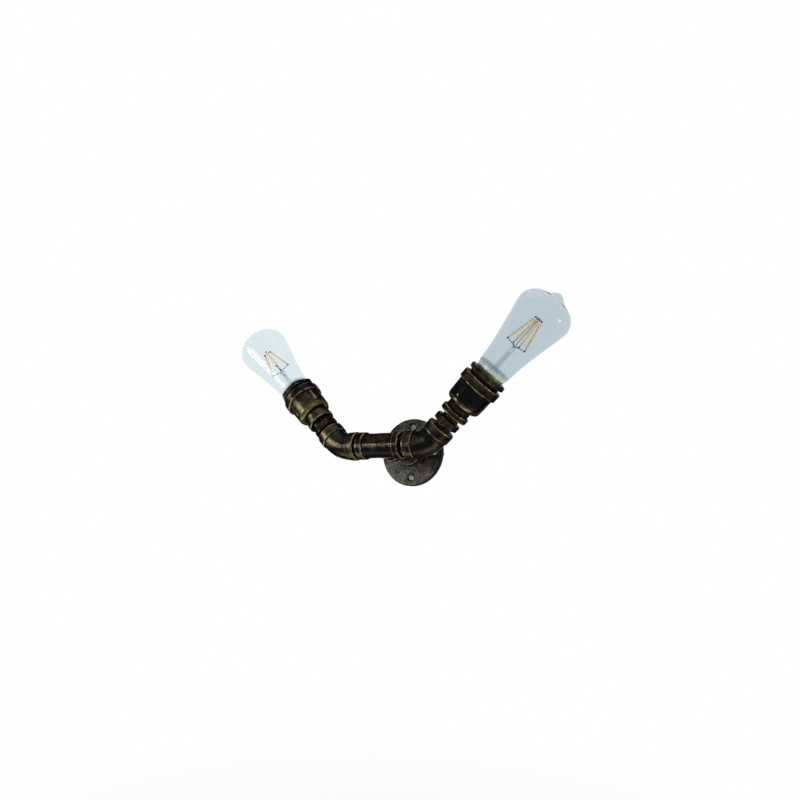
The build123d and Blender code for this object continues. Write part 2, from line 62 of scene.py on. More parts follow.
SHARP_ANGLE = 38.0
SOFT_SHARP_ANGLE = 60.0
NOISE_ROUGHNESS = 0.55
WHITE = (1.0, 1.0, 1.0)
MIXED_COLOURS = (6, 7)
MIXED_COLOUR = 2
log = logging.getLogger("pipe_wall_light")

Vector3 = tuple[float, float, float]
Span = tuple[float, float]
Corner = tuple[float, float, float]
Rows = tuple[np.ndarray, np.ndarray]
Material = bpy.types.Material
Socket = bpy.types.NodeSocket
Relief = Callable[[np.ndarray, np.ndarray, np.ndarray], np.ndarray]


class Side(Enum):
    """The two arms of the light, with the sign of the direction that each runs along the wall."""

    LEFT = -1
    RIGHT = 1

    @property
    def word(self) -> str:
        """The side's name as the nodes and bodies spell it."""
        return self.name.lower()


# ---------------------------------------------------------------------------------------------------
# Axes: straight or bent lines that surfaces are wrapped around
# ---------------------------------------------------------------------------------------------------
def unit(vector: np.ndarray | Sequence[float]) -> np.ndarray:
    """Scale vectors to length one along their last axis.

    Args:
        vector: One vector or an array of them.

    Returns:
        The same directions, each divided by its length.
    """
    vector = np.asarray(vector, float)
    return vector / np.linalg.norm(vector, axis=-1, keepdims=True)


@dataclass(frozen=True)
class StraightAxis:
    """A straight centre line, with the direction from which angles around it are counted."""

    origin: Vector3
    along: Vector3
    zero: Vector3

    def place(self, radius: np.ndarray, angle: np.ndarray, station: np.ndarray) -> np.ndarray:
        """Place cylindrical coordinates in space.

        A point is the origin, plus the station along the axis, plus the radius times the cosine of the
        angle towards the zero direction and its sine towards the direction square to both.

        Args:
            radius: Distances from the axis.
            angle: Angles around it in radians.
            station: Distances along it.

        Returns:
            Points, with the three coordinates on the last axis.
        """
        radius, angle, station = np.broadcast_arrays(radius, angle, station)
        along, zero = np.array(self.along), np.array(self.zero)
        across = np.cross(along, zero)
        out = np.cos(angle)[..., None] * zero + np.sin(angle)[..., None] * across
        return np.array(self.origin) + station[..., None] * along + radius[..., None] * out


@dataclass(frozen=True)
class BentAxis:
    """A centre line that runs straight, bends on an arc and runs straight again."""

    middle: Vector3
    arriving: Vector3
    leaving: Vector3
    zero: Vector3
    reach: float
    leg: float

    @property
    def half_turn(self) -> float:
        """Half the angle between the two legs' directions, in radians."""
        return math.acos(float(np.dot(unit(self.arriving), unit(self.leaving)))) / 2

    @property
    def bend_radius(self) -> float:
        """The arc's radius: what is left of the reach beyond the leg, over the tangent of half the turn."""
        return (self.reach - self.leg) / math.tan(self.half_turn)

    @property
    def length(self) -> float:
        """The whole centre line: two legs and the arc."""
        return 2 * self.leg + 2 * self.half_turn * self.bend_radius

    def place(self, radius: np.ndarray, angle: np.ndarray, station: np.ndarray) -> np.ndarray:
        """Place cylindrical coordinates around the bent line.

        On the arc the direction turns from the arriving to the leaving one in proportion to the station,
        and the centre is the arc's start plus the bend radius times (sine of the turn along the arriving
        direction, one minus its cosine towards the inside of the bend).

        Args:
            radius: Distances from the line.
            angle: Angles around it in radians.
            station: Distances along it from its first end.

        Returns:
            Points, with the three coordinates on the last axis.
        """
        radius, angle, station = np.broadcast_arrays(radius, angle, station)
        first = unit(self.arriving)
        inside = unit(np.array(self.leaving) - first * np.dot(first, self.leaving))
        bend = self.bend_radius
        turn = np.clip((station - self.leg) / bend, 0, 2 * self.half_turn)
        before = np.minimum(station, self.leg)
        after = np.maximum(station - (self.length - self.leg), 0)
        tangent = np.cos(turn)[..., None] * first + np.sin(turn)[..., None] * inside
        centre = np.array(self.middle) + (before - self.reach + bend * np.sin(turn))[..., None] * first
        centre = centre + (bend * (1 - np.cos(turn)))[..., None] * inside + after[..., None] * tangent
        zero = np.broadcast_to(np.array(self.zero), tangent.shape)
        across = np.cross(tangent, zero)
        out = np.cos(angle)[..., None] * zero + np.sin(angle)[..., None] * across
        return centre + radius[..., None] * out


# ---------------------------------------------------------------------------------------------------
# Outlines and surfaces
# ---------------------------------------------------------------------------------------------------
def rounded_outline(corners: Sequence[Corner], step: float = 0.7, closed: bool = True) -> np.ndarray:
    """Round an outline's corners and divide its straight runs.

    At a corner the tangent length is the rounding times the tangent of half the turn. The arc's points
    are its centre plus the spoke to its first point, rotated by even shares of the turn.

    Args:
        corners: (radius, station, rounding) of each corner.
        step: The longest straight piece.
        closed: Whether the last corner joins the first.

    Returns:
        Points of the outline as rows of (radius, station), without repeating the first.
    """
    count = len(corners)
    arcs = []
    for number, (radius, station, rounding) in enumerate(corners):
        here = np.array((radius, station))
        if rounding == 0 or (not closed and number in (0, count - 1)):
            arcs.append(here[None, :])
            continue
        before = unit(here - np.array(corners[number - 1][:2]))
        after = unit(np.array(corners[(number + 1) % count][:2]) - here)
        turn = math.atan2(before[0] * after[1] - before[1] * after[0], float(before @ after))
        start = here - before * rounding * math.tan(abs(turn) / 2)
        spoke = np.array((before[1], -before[0])) * math.copysign(rounding, turn)
        shares = np.linspace(0, turn, max(3, math.ceil(abs(turn) / ARC_STEP)))
        turned = [np.cos(shares) * spoke[0] - np.sin(shares) * spoke[1]]
        turned += [np.sin(shares) * spoke[0] + np.cos(shares) * spoke[1]]
        arcs.append(start - spoke + np.stack(turned, axis=1))
    points = [arcs[0]]
    for arc in arcs[1:] + ([arcs[0]] if closed else []):
        gap = arc[0] - points[-1][-1]
        pieces = max(1, math.ceil(float(np.hypot(*gap)) / step))
        shares = np.arange(1, pieces)[:, None] / pieces
        points += [points[-1][-1] + shares * gap] if pieces > 1 else []
        points.append(arc)
    rows = np.concatenate(points[:-1] if closed else points)
    keep = np.ones(len(rows), bool)
    keep[1:] = np.hypot(*(rows[1:] - rows[:-1]).T) > LEAST_GAP
    return rows[keep]


def even_angles(count: int) -> np.ndarray:
    """Angles at even steps around a full turn."""
    return np.arange(count) * (2 * math.pi / count)


def crowded_angles(count: int, centres: Sequence[float], spread: float, crowding: float) -> np.ndarray:
    """Angles around a full turn that stand closer together near given centres.

    The density is one plus a bell curve of the given height at each centre, and the angles are where the
    summed density passes even shares of its total.

    Args:
        count: How many angles.
        centres: The angles, in radians, to crowd around.
        spread: The bell curve's width in radians.
        crowding: Its height.

    Returns:
        The angles in radians, rising.
    """
    fine = np.linspace(0, 2 * math.pi, FINE_ANGLES, endpoint=False)
    distance = np.angle(np.exp(1j * (fine[:, None] - np.array(centres)[None, :])))
    density = 1 + crowding * np.exp(-((distance / spread) ** 2)).sum(axis=1)
    summed = np.cumsum(density)
    return np.interp(np.arange(count) / count * summed[-1], summed, fine)


@dataclass
class Surface:
    """A grid of points whose columns close on themselves, with whether its rows do too."""

    points: np.ndarray
    rows_close: bool = True

    def faces(self) -> np.ndarray:
        """Every square of the grid as four indexes, in one array."""
        rows, columns = self.points.shape[:2]
        index = np.arange(rows * columns).reshape(rows, columns)
        if self.rows_close:
            index = np.concatenate([index, index[:1]])
        index = np.concatenate([index, index[:, :1]], axis=1)
        corners = (index[:-1, :-1], index[:-1, 1:], index[1:, 1:], index[1:, :-1])
        return np.stack(corners, axis=-1).reshape(-1, 4)


def turned_surface(
    axis: StraightAxis | BentAxis,
    outline: np.ndarray,
    angles: np.ndarray,
    relief: Relief | None = None,
    closed: bool = True,
) -> Surface:
    """Turn an outline about an axis.

    Each outline point is repeated at every angle. Relief, where given, is a distance added to the radius
    that depends on the angle, the station and the radius.

    Args:
        axis: The line to turn about.
        outline: Rows of (radius, station).
        angles: The angles of the columns.
        relief: Extra radius as a function of angle, station and radius.
        closed: Whether the outline is a closed loop.

    Returns:
        The grid of points.
    """
    radius, station = outline[:, :1], outline[:, 1:]
    angle = angles[None, :]
    if relief is not None:
        radius = radius + relief(angle, station, radius)
    return Surface(axis.place(radius, angle, station), rows_close=closed)


def rise(value: np.ndarray, start: float, end: float) -> np.ndarray:
    """A smooth step: 3t² - 2t³ of the share t of the way from start to end, held between 0 and 1."""
    share = np.clip((value - start) / (end - start), 0, 1)
    return share * share * (3 - 2 * share)


def soft_least(values: np.ndarray, softness: float) -> np.ndarray:
    """The least of several arrays with a rounded crossing.

    It is minus the softness times the logarithm of the sum of exp(-value / softness).

    Args:
        values: Arrays stacked on the first axis.
        softness: How wide the crossing is rounded.

    Returns:
        The softened least.
    """
    least = values.min(axis=0)
    return least - softness * np.log(np.exp((least - values) / softness).sum(axis=0))


def casting_waves(points: np.ndarray, height: float, seed: int) -> np.ndarray:
    """The faint unevenness of a sand casting, as a distance at each point.

    It is the mean of sine waves in seeded random directions, 5 to 20 mm long, times the height.

    Args:
        points: Points in millimetres.
        height: The largest rise.
        seed: What the directions and phases are drawn with.

    Returns:
        The rise at each point.
    """
    draw = np.random.default_rng(seed)
    directions = unit(draw.normal(size=(WAVE_COUNT, 3)))
    lengths = draw.uniform(*WAVE_LENGTHS, WAVE_COUNT)
    phases = draw.uniform(0, 2 * math.pi, WAVE_COUNT)
    waves = np.sin(points @ (directions * (2 * math.pi / lengths)[:, None]).T + phases)
    return height * waves.mean(axis=-1)


# ---------------------------------------------------------------------------------------------------
# Meshes
# ---------------------------------------------------------------------------------------------------
def rows_of(items: bpy.types.bpy_prop_collection, name: str, width: int = 3,
            kind: type = np.float32) -> np.ndarray:
    """One property of every item in a mesh's list, as rows of a given width."""
    values = np.empty(len(items) * width, kind)
    items.foreach_get(name, values)
    return values.reshape(-1, width)


def store(mesh: bpy.types.Mesh, name: str, values: np.ndarray) -> None:
    """Store a value at each of a mesh's points, in place of any that has the name."""
    if name in mesh.attributes:
        mesh.attributes.remove(mesh.attributes[name])
    attribute = mesh.attributes.new(name, "FLOAT", "POINT")
    attribute.data.foreach_set("value", values.astype(np.float32))


def mark_curvature(mesh: bpy.types.Mesh) -> None:
    """Store where a surface is ridged, swells or is hollow, for the finishes to wear, to gild as painted
    highlight and to darken as painted shade.

    The bend at a vertex is how far each neighbour lies below its tangent plane over the squared distance,
    in one per millimetre. The largest gives "ridge" and "swell" and the least gives "hollow". Each is a
    smooth step between its two bends, spread over the neighbours a number of times.

    Args:
        mesh: The mesh to mark.
    """
    count = len(mesh.vertices)
    points, normals = rows_of(mesh.vertices, "co") / METRES, rows_of(mesh.vertex_normals, "vector")
    ends = rows_of(mesh.edges, "vertices", 2, np.int32)
    here, there = np.concatenate([ends, ends[:, ::-1]]).T
    gap = points[here] - points[there]
    bend = (gap * normals[here]).sum(axis=1) / np.maximum((gap**2).sum(axis=1), LEAST_SQUARE)
    ridge, hollow = np.zeros(count), np.zeros(count)
    np.maximum.at(ridge, here, bend)
    np.maximum.at(hollow, here, -bend)
    neighbours = np.maximum(np.bincount(here, minlength=count), 1)
    for name, (start, end, passes) in CURVATURE_MARKS.items():
        values = rise(hollow if name == "hollow" else ridge, start, end)
        for _ in range(passes):
            around = np.bincount(here, weights=values[there], minlength=count)
            values = 0.5 * values + 0.5 * around / neighbours
        store(mesh, name, values)


def closed_mesh(name: str, surfaces: Sequence[Surface]) -> bpy.types.Mesh:
    """Join grids where their points meet, with every face looking outwards."""
    points, faces, first = [], [], 0
    for surface in surfaces:
        points.append(surface.points.reshape(-1, 3) * METRES)
        faces.append(surface.faces() + first)
        first += len(points[-1])
    mesh = bpy.data.meshes.new(name)
    mesh.from_pydata(np.concatenate(points), [], np.concatenate(faces))
    joined = bmesh.new()
    joined.from_mesh(mesh)
    bmesh.ops.remove_doubles(joined, verts=joined.verts, dist=SAME_POINT)
    bmesh.ops.recalc_face_normals(joined, faces=joined.faces)
    if joined.calc_volume(signed=True) < 0:
        bmesh.ops.reverse_faces(joined, faces=joined.faces)
    joined.to_mesh(mesh)
    joined.free()
    return mesh


def put_in_scene(name: str, data: bpy.types.ID) -> bpy.types.Object:
    """A new object in the scene that holds some data."""
    new = bpy.data.objects.new(name, data)
    bpy.context.scene.collection.objects.link(new)
    return new


def make_piece(
    name: str,
    surfaces: Sequence[Surface],
    body: str,
    replaces: Sequence[str],
    material: Material,
    sharp_angle: float = SHARP_ANGLE,
) -> bpy.types.Object:
    """Make one piece of the light from its surfaces and set it into the frame.

    Args:
        name: The piece's name.
        surfaces: Grids that meet along shared points or stand apart.
        body: The body that it rides on.
        replaces: The nodes that it stands for.
        material: Its finish.
        sharp_angle: Edges that turn by more degrees than this are shaded sharp.

    Returns:
        The new object.
    """
    mesh = closed_mesh(name, surfaces)
    mesh.shade_smooth()
    mesh.set_sharp_from_angle(angle=math.radians(sharp_angle))
    mark_curvature(mesh)
    mesh.materials.append(material)
    piece = put_in_scene(name, mesh)
    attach(piece, body)
    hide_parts(*replaces)
    log.info("%s: %d faces on %s", name, len(mesh.polygons), body)
    return piece


# ---------------------------------------------------------------------------------------------------
# Finishes
# ---------------------------------------------------------------------------------------------------
class NodeBench:
    """A node tree, with short ways to add and join nodes."""

    def __init__(self, tree: bpy.types.NodeTree) -> None:
        """Empty the tree."""
        self.tree = tree
        tree.nodes.clear()

    def join(self, value: object, socket: Socket) -> None:
        """Link an output to a socket, or set the socket's own value to a constant."""
        if isinstance(value, Socket):
            self.tree.links.new(value, socket)
        else:
            socket.default_value = (*value, 1.0) if socket.type == "RGBA" else value

    def node(self, kind: str, inputs: dict[str | int, object] | None = None,
             **settings: object) -> bpy.types.Node:
        """Add a node.

        Args:
            kind: The node's type, less its "ShaderNode".
            inputs: What goes into its inputs, by name or number: an output or a constant.
            settings: Its own properties.

        Returns:
            The node.
        """
        new = self.tree.nodes.new(f"ShaderNode{kind}")
        for name, value in settings.items():
            setattr(new, name, value)
        for name, value in (inputs or {}).items():
            self.join(value, new.inputs[name])
        return new

    def span(self, value: object, low: float, high: float, to_low: float = 0.0,
             to_high: float = 1.0) -> Socket:
        """A value moved from one range to another and held inside it."""
        ends = {"From Min": low, "From Max": high, "To Min": to_low, "To Max": to_high}
        return self.node("MapRange", ends | {"Value": value}).outputs["Result"]

    def math(self, operation: str, first: object, second: object) -> Socket:
        """Two values through one operation, held between 0 and 1."""
        return self.node("Math", {0: first, 1: second}, operation=operation, use_clamp=True).outputs["Value"]

    def times(self, first: object, second: object) -> Socket:
        """The product of two values between 0 and 1."""
        return self.math("MULTIPLY", first, second)

    def length(self, vector: Socket) -> Socket:
        """A vector's length."""
        return self.node("VectorMath", {0: vector}, operation="LENGTH").outputs["Value"]

    def seeing_rays(self) -> Socket:
        """1 for the rays that show a background, from the camera, off a mirror or through glass, else 0."""
        rays = self.node("LightPath").outputs
        seen = self.math("MAXIMUM", rays["Is Camera Ray"], rays["Is Transmission Ray"])
        return self.math("MAXIMUM", seen, rays["Is Glossy Ray"])


class MaterialBench(NodeBench):
    """A material's node tree, which ends in one Principled shader."""

    def __init__(self, name: str) -> None:
        """Start an empty material."""
        self.material = bpy.data.materials.new(name)
        self.material.use_nodes = True
        super().__init__(self.material.node_tree)
        self.shader = self.node("BsdfPrincipled")
        self.output = self.node("OutputMaterial", {"Surface": self.shader.outputs["BSDF"]})
        self.place = self.node("TexCoord").outputs["Object"]

    def place_along(self, direction: Vector3, low: float, high: float) -> Socket:
        """How far a point lies along a direction, from 0 at one distance in millimetres to 1 at another."""
        dot = self.node("VectorMath", {0: self.place, 1: direction}, operation="DOT_PRODUCT")
        return self.span(dot.outputs["Value"], low * METRES, high * METRES)

    def beyond(self, radius: float, fade: float = 0.5) -> Socket:
        """1 for a point farther than a radius from the flange's own axis, and 0 nearer to it."""
        flat = self.node("VectorMath", {0: self.place, 1: (1.0, 0.0, 1.0)}, operation="MULTIPLY")
        return self.span(self.length(flat.outputs["Vector"]), (radius - fade) * METRES, radius * METRES)

    def noise(self, size: float, detail: float = 3.0) -> Socket:
        """A noise pattern whose grains are about a given size in millimetres."""
        inputs = {"Scale": 1 / (size * METRES), "Detail": detail, "Roughness": NOISE_ROUGHNESS}
        return self.node("TexNoise", inputs | {"Vector": self.place}).outputs["Fac"]

    def pits(self, size: float) -> Socket:
        """A cell pattern's distance to its nearest point, for pits and blisters of a size in millimetres."""
        cells = self.node("TexVoronoi", {"Scale": 1 / (size * METRES), "Vector": self.place})
        return cells.outputs["Distance"]

    def attribute(self, name: str) -> Socket:
        """A value stored on the mesh's points."""
        return self.node("Attribute", attribute_name=name).outputs["Fac"]

    def blend(self, share: object, first: object, second: object) -> Socket:
        """The first colour, giving way to the second by a share."""
        inputs = {0: share} | dict(zip(MIXED_COLOURS, (first, second)))
        return self.node("Mix", inputs, data_type="RGBA").outputs[MIXED_COLOUR]

    def bump(self, height: object, depth: float, under: Socket | None = None) -> Socket:
        """A bump of a depth in millimetres, laid over another where one is given."""
        inputs = {"Distance": depth * METRES, "Height": height} | ({"Normal": under} if under else {})
        return self.node("Bump", inputs).outputs["Normal"]

    def finish(self, **sockets: object) -> Material:
        """Set the shader's sockets, with underscores for the spaces in their names."""
        for name, value in sockets.items():
            self.join(value, self.shader.inputs[name.replace("_", " ")])
        return self.material


@dataclass(frozen=True)
class AgedIron:
    """Blackened cast iron, brushed with bronze in soft clouds and rubbed to pale gold along its edges.

    Its bronze leans towards the left and below as a painted lit side, the gold on its swelling shoulders is
    partly a painted highlight, and its hollows and the flange's rim side are painted near black as painted
    shade.
    """

    name: str
    black: Vector3 = (0.0044, 0.0046, 0.0050)
    bronze: Vector3 = (0.060, 0.050, 0.027)
    gold: Vector3 = (0.42, 0.35, 0.20)
    # painted shade: the near black laid into hollows and onto the flange's rim side
    painted_shade: Vector3 = (0.002, 0.002, 0.002)
    bronze_share: float = 0.9
    # gold on swelling shoulders: partly wear, partly a painted highlight
    edge_share: float = 0.26
    swell_sheen_share: float = 0.13
    fleck_share: float = 0.05
    # painted lit side: the direction, left and below, towards which the bronze clouds grow, where the lamps
    # light the iron
    handled: Vector3 = (-1.0, 0.0, -0.25)
    handled_share: float = 0.05
    cloud_size: float = 30.0
    patch_size: float = 7.0
    grain: float = 0.025
    lumps: float = 0.12
    metallic: float = 0.95
    polished: float = 0.21
    dusty: float = 0.33
    # painted shade: past this radius from the flange's axis, the rim side is painted near black
    shaded_rim_radius: float = 0.0
    streak_size: float = 2.2
    grain_size: float = 0.7
    pit_size: float = 2.2
    pit_depth: float = 0.05
    hollow_share: float = 0.95
    edge_tint: Vector3 = (0.3, 0.3, 0.3)
    handled_span: Span = (-40.0, 90.0)
    cloud_span: Span = (0.47, 0.68)
    streak_span: Span = (0.25, 0.70)
    swell_sheen_spans: tuple[Span, Span] = ((0.2, 0.9), (0.30, 0.60))
    edge_spans: tuple[Span, Span] = ((0.45, 1.0), (0.42, 0.62))
    fleck_spans: tuple[Span, Span] = ((0.60, 0.72), (0.46, 0.62))
    hollow_span: Span = (0.05, 0.5)
    dusty_span: Span = (0.0, 0.7)
    pit_span: Span = (0.05, 0.22)

    def material(self) -> Material:
        """The finish as nodes: colour from clouds, grain and edges, bump from sand grain and pits.

        Gold lies where the mesh swells or is ridged and in the grain's flecks, each only in its patches. The
        gold on swells is partly a painted highlight on the shoulders. A painted lit side adds bronze towards
        the left and below, and painted shade darkens the hollows and the flange's rim side.
        """
        bench = MaterialBench(self.name)
        cloud, patch = bench.noise(self.cloud_size), bench.noise(self.patch_size, 4.0)
        streak, grain = bench.noise(self.streak_size, 4.0), bench.noise(self.grain_size)
        # Painted lit side: more bronze towards the left and below, a painted lighter side where the lamps
        # fall.
        handled = bench.times(bench.place_along(self.handled, *self.handled_span), self.handled_share)
        cloud = bench.math("ADD", cloud, handled)
        brushed = bench.times(bench.span(cloud, *self.cloud_span), bench.span(streak, *self.streak_span))
        brushed = bench.times(brushed, self.bronze_share)
        base = bench.blend(brushed, self.black, self.bronze)
        # Gold on ridges and in flecks is wear; gold on the swelling shoulders is partly wear and partly a
        # painted highlight.
        gold_wear_and_sheen = ((bench.attribute("swell"), self.swell_sheen_spans, self.swell_sheen_share),
                (bench.attribute("ridge"), self.edge_spans, self.edge_share),
                (grain, self.fleck_spans, self.fleck_share))
        for worn, (mark_span, patch_span), share in gold_wear_and_sheen:
            wear_and_sheen = bench.times(bench.span(worn, *mark_span), bench.span(patch, *patch_span))
            base = bench.blend(bench.times(wear_and_sheen, share), base, self.gold)
        # Painted shade: the hollows darken to near black, where shade falls in creases.
        hollow = bench.span(bench.attribute("hollow"), *self.hollow_span)
        base = bench.blend(bench.times(hollow, self.hollow_share), base, self.painted_shade)
        # Painted shade: the flange's rim side, past the radius, is painted near black.
        if self.shaded_rim_radius:
            base = bench.blend(bench.beyond(self.shaded_rim_radius), base, self.painted_shade)
        rough = bench.span(brushed, *self.dusty_span, self.polished, self.dusty)
        sand = bench.bump(grain, self.grain, bench.bump(patch, self.lumps))
        pitted = bench.bump(bench.span(bench.pits(self.pit_size), *self.pit_span), self.pit_depth, sand)
        return bench.finish(Base_Color=base, Metallic=self.metallic, Roughness=rough,
                            Specular_Tint=self.edge_tint, Normal=pitted)


@dataclass(frozen=True)
class PlainMetal:
    """A metal of one colour with fine handling marks."""

    name: str
    colour: Vector3
    roughness: float
    tarnish: Vector3
    tarnish_share: float = 0.25
    tarnish_span: Span = (0.42, 0.7)
    rough_span: Span = (0.3, 0.7)
    rough_rise: float = 0.15

    def material(self) -> Material:
        """The finish as nodes: tarnish in clouds, roughness that varies and a faint bump."""
        bench = MaterialBench(self.name)
        cloud, fine = bench.noise(3.0, 4.0), bench.noise(0.4, 2.0)
        share = bench.times(bench.span(cloud, *self.tarnish_span), self.tarnish_share)
        base = bench.blend(share, self.colour, self.tarnish)
        rough = bench.span(cloud, *self.rough_span, self.roughness, self.roughness + self.rough_rise)
        return bench.finish(Base_Color=base, Metallic=1.0, Roughness=rough, Normal=bench.bump(fine, 0.01))


@dataclass(frozen=True)
class Glaze:
    """A hard glossy skin: glazed porcelain or opaque black glass."""

    name: str
    colour: Vector3
    roughness: float = 0.18
    shade: float = 0.82
    coat: float = 0.5

    def material(self) -> Material:
        """The finish as nodes: a colour that clouds a little under a clear coat."""
        bench = MaterialBench(self.name)
        cloud = bench.noise(5.0, 3.0)
        darker = tuple(self.shade * part for part in self.colour)
        base = bench.blend(bench.span(cloud, 0.45, 0.75), self.colour, darker)
        waves = bench.bump(cloud, 0.05)
        return bench.finish(Base_Color=base, Roughness=self.roughness, Coat_Weight=self.coat, Normal=waves)


@dataclass(frozen=True)
class BlownGlass:
    """Clear blown glass with a faint tint and ripple.

    The tint lies in the outer skin, where the mesh's "outer" attribute is 1. A lamp's foot is misted, and a
    ring of it carries a painted reflection of the brass cap, mottled between a lit and a shaded tone: "mist"
    and
    "ring" are 1 there and 0 on clear glass.
    """

    name: str
    tint: Vector3
    index: float = 1.12
    ripple: float = 0.02
    ripple_size: float = 26.0
    gloss: float = 0.25
    gloss_roughness: float = 0.12
    tinted_all: bool = False
    mist: Vector3 = (0.42, 0.50, 0.54)
    # the two brass tones below are the lit and shaded tones of the ring's painted reflection of the cap
    brass: Vector3 = (0.44, 0.48, 0.26)
    reflected_brass_shade: Vector3 = (0.12, 0.14, 0.05)

    def material(self) -> Material:
        """The finish as nodes: full transmission except at the foot, with a long soft ripple."""
        bench = MaterialBench(self.name)
        ripple = bench.bump(bench.noise(self.ripple_size, 1.0), self.ripple)
        mist, ring = bench.attribute("mist"), bench.attribute("ring")
        # Painted reflection of the brass cap on the glass ring, mottled between a lit and a shaded tone.
        mirrored = bench.blend(bench.span(bench.noise(2.5, 3.0), 0.4, 0.6), self.reflected_brass_shade, self.brass)
        outer = 1.0 if self.tinted_all else bench.attribute("outer")
        coat = 0.0 if self.tinted_all else bench.times(outer, self.gloss)
        tinted = bench.blend(outer, WHITE, self.tint)
        base = bench.blend(ring, bench.blend(mist, tinted, self.mist), mirrored)
        clear = bench.span(mist, 0.0, 1.0, 1.0, 0.1)
        return bench.finish(Base_Color=base, Roughness=0.0, IOR=self.index, Transmission_Weight=clear,
                            Coat_Weight=coat, Coat_Roughness=self.gloss_roughness, Normal=ripple)


@dataclass(frozen=True)
class Phosphor:
    """The yellow silicone skin of an unlit LED filament."""

    name: str
    colour: Vector3
    shade: Vector3

    def material(self) -> Material:
        """The finish as nodes: a soft yellow that deepens where the chips lie under it."""
        bench = MaterialBench(self.name)
        chips = bench.span(bench.noise(1.1, 2.0), 0.4, 0.6)
        base = bench.blend(chips, self.colour, self.shade)
        return bench.finish(Base_Color=base, Roughness=0.45, Normal=bench.bump(chips, 0.01))


def made(finish: AgedIron | PlainMetal | Glaze | BlownGlass | Phosphor) -> Material:
    """A field that holds a finish's material."""
    return field(default_factory=finish.material)


def lamp_glasses() -> dict[Side, Material]:
    """The glass of each lamp, which the picture shows in its own tint."""
    tints = {Side.LEFT: (0.70, 0.805, 0.855), Side.RIGHT: (0.485, 0.575, 0.63)}
    return {side: BlownGlass(f"lamp_glass_{side.word}", tint).material() for side, tint in tints.items()}


@dataclass
class Finishes:
    """Every finish of the light, made once."""

    iron: Material = made(AgedIron("aged_iron"))
    # The flange's rim side is painted near black as painted shade.
    flange_iron: Material = made(AgedIron(
        "flange_iron", black=(0.0075, 0.0080, 0.0080), bronze=(0.050, 0.046, 0.034), gold=(0.36, 0.33, 0.23),
        edge_share=0.25, swell_sheen_share=0.0, fleck_share=0.4, cloud_size=9.0, patch_size=2.2, grain=0.12,
        metallic=0.7, polished=0.35, dusty=0.45, shaded_rim_radius=41.5))
    screw: Material = made(PlainMetal("zinc_screw", (0.22, 0.22, 0.225), 0.28, (0.08, 0.08, 0.08), 0.5))
    porcelain: Material = made(Glaze("porcelain", (0.84, 0.82, 0.76)))
    brass: Material = made(PlainMetal("brass", (0.82, 0.68, 0.30), 0.24, (0.45, 0.33, 0.12)))
    glass: dict[Side, Material] = field(default_factory=lamp_glasses)
    stem_glass: Material = made(BlownGlass("stem_glass", (0.80, 0.84, 0.85), 1.46, 0.05, tinted_all=True))
    black_glass: Material = made(Glaze("black_glass", (0.012, 0.012, 0.014), 0.1))
    solder: Material = made(PlainMetal("solder", (0.6, 0.6, 0.58), 0.4, (0.3, 0.3, 0.3)))
    wire: Material = made(PlainMetal("nickel_wire", (0.09, 0.09, 0.09), 0.35, (0.03, 0.03, 0.03)))
    phosphor: Material = made(Phosphor("filament_phosphor", (1.0, 0.72, 0.38), (0.97, 0.68, 0.34)))


# ---------------------------------------------------------------------------------------------------
# Pipe threads and hexagons
# ---------------------------------------------------------------------------------------------------
@dataclass(frozen=True)
class PipeThread:
    """A parallel pipe thread: 14 turns to the inch, with rounded crests and roots."""

    crest: float = 10.4
    pitch: float = 25.4 / 14
    depth: float = 1.05
    start_angle: float = 0.0
    flank: Span = (0.08, 0.92)
    rows_per_turn: int = 12

    def radius(self, angle: np.ndarray, station: np.ndarray) -> np.ndarray:
        """The thread's outer radius.

        The height is a triangle wave of the station over the pitch less the share of a turn, its crests
        and roots cut off by a smooth step.

        Args:
            angle: Angles around the axis in radians.
            station: Distances along it.

        Returns:
            The radius at each angle and station.
        """
        phase = station / self.pitch - (angle + self.start_angle) / (2 * math.pi)
        wave = 2 * np.abs(phase - np.floor(phase) - 0.5)
        return self.crest - self.depth * rise(wave, *self.flank)

    def block(self, angles: np.ndarray, start: float, end: float) -> Rows:
        """Rows of the thread's surface from one station to another.

        Args:
            angles: The angles of the columns.
            start: The first station.
            end: The last station.

        Returns:
            The radius grid and the stations of its rows.
        """
        rows = max(3, math.ceil(abs(end - start) / (self.pitch / self.rows_per_turn)))
        stations = np.linspace(start, end, rows)
        return self.radius(angles[None, :], stations[:, None]), stations


@dataclass(frozen=True)
class Hexagon:
    """A spanner hexagon with softened corners and a conical bevel at each end."""

    flats: float
    start: float
    end: float
    bevel: float
    turn: float
    corner_softness: float = 0.12
    end_softness: float = 0.10
    fine_step: float = 0.12
    coarse_step: float = 0.9

    def block(self, angles: np.ndarray) -> Rows:
        """Rows of the hexagon's sides, from its first face to its last.

        Each flat's radius is half the width across flats over the cosine of the angle from the flat's
        middle. The side is the soft least of the six flats and of the bevel's cone, whose radius grows by
        the cotangent of 30 degrees with the distance from the nearer end.

        Args:
            angles: The angles of the columns.

        Returns:
            The radius grid and the stations of its rows.
        """
        middles = math.radians(self.turn) + even_angles(6)
        cosines = np.cos(angles[None, :] - middles[:, None])
        sides = soft_least(self.flats / 2 / np.maximum(cosines, 0.2), self.corner_softness)
        near = rounded_steps(self.end - self.start, self.bevel * 2.2, self.fine_step, self.coarse_step)
        stations = self.start + near
        corner = self.flats / 2 / math.cos(math.pi / 6)
        depth = np.minimum(near, (self.end - self.start) - near)
        cone = corner + (depth - self.bevel) / math.tan(math.pi / 6)
        grids = np.broadcast_arrays(sides[None, :], cone[:, None])
        return soft_least(np.stack(grids), self.end_softness), stations


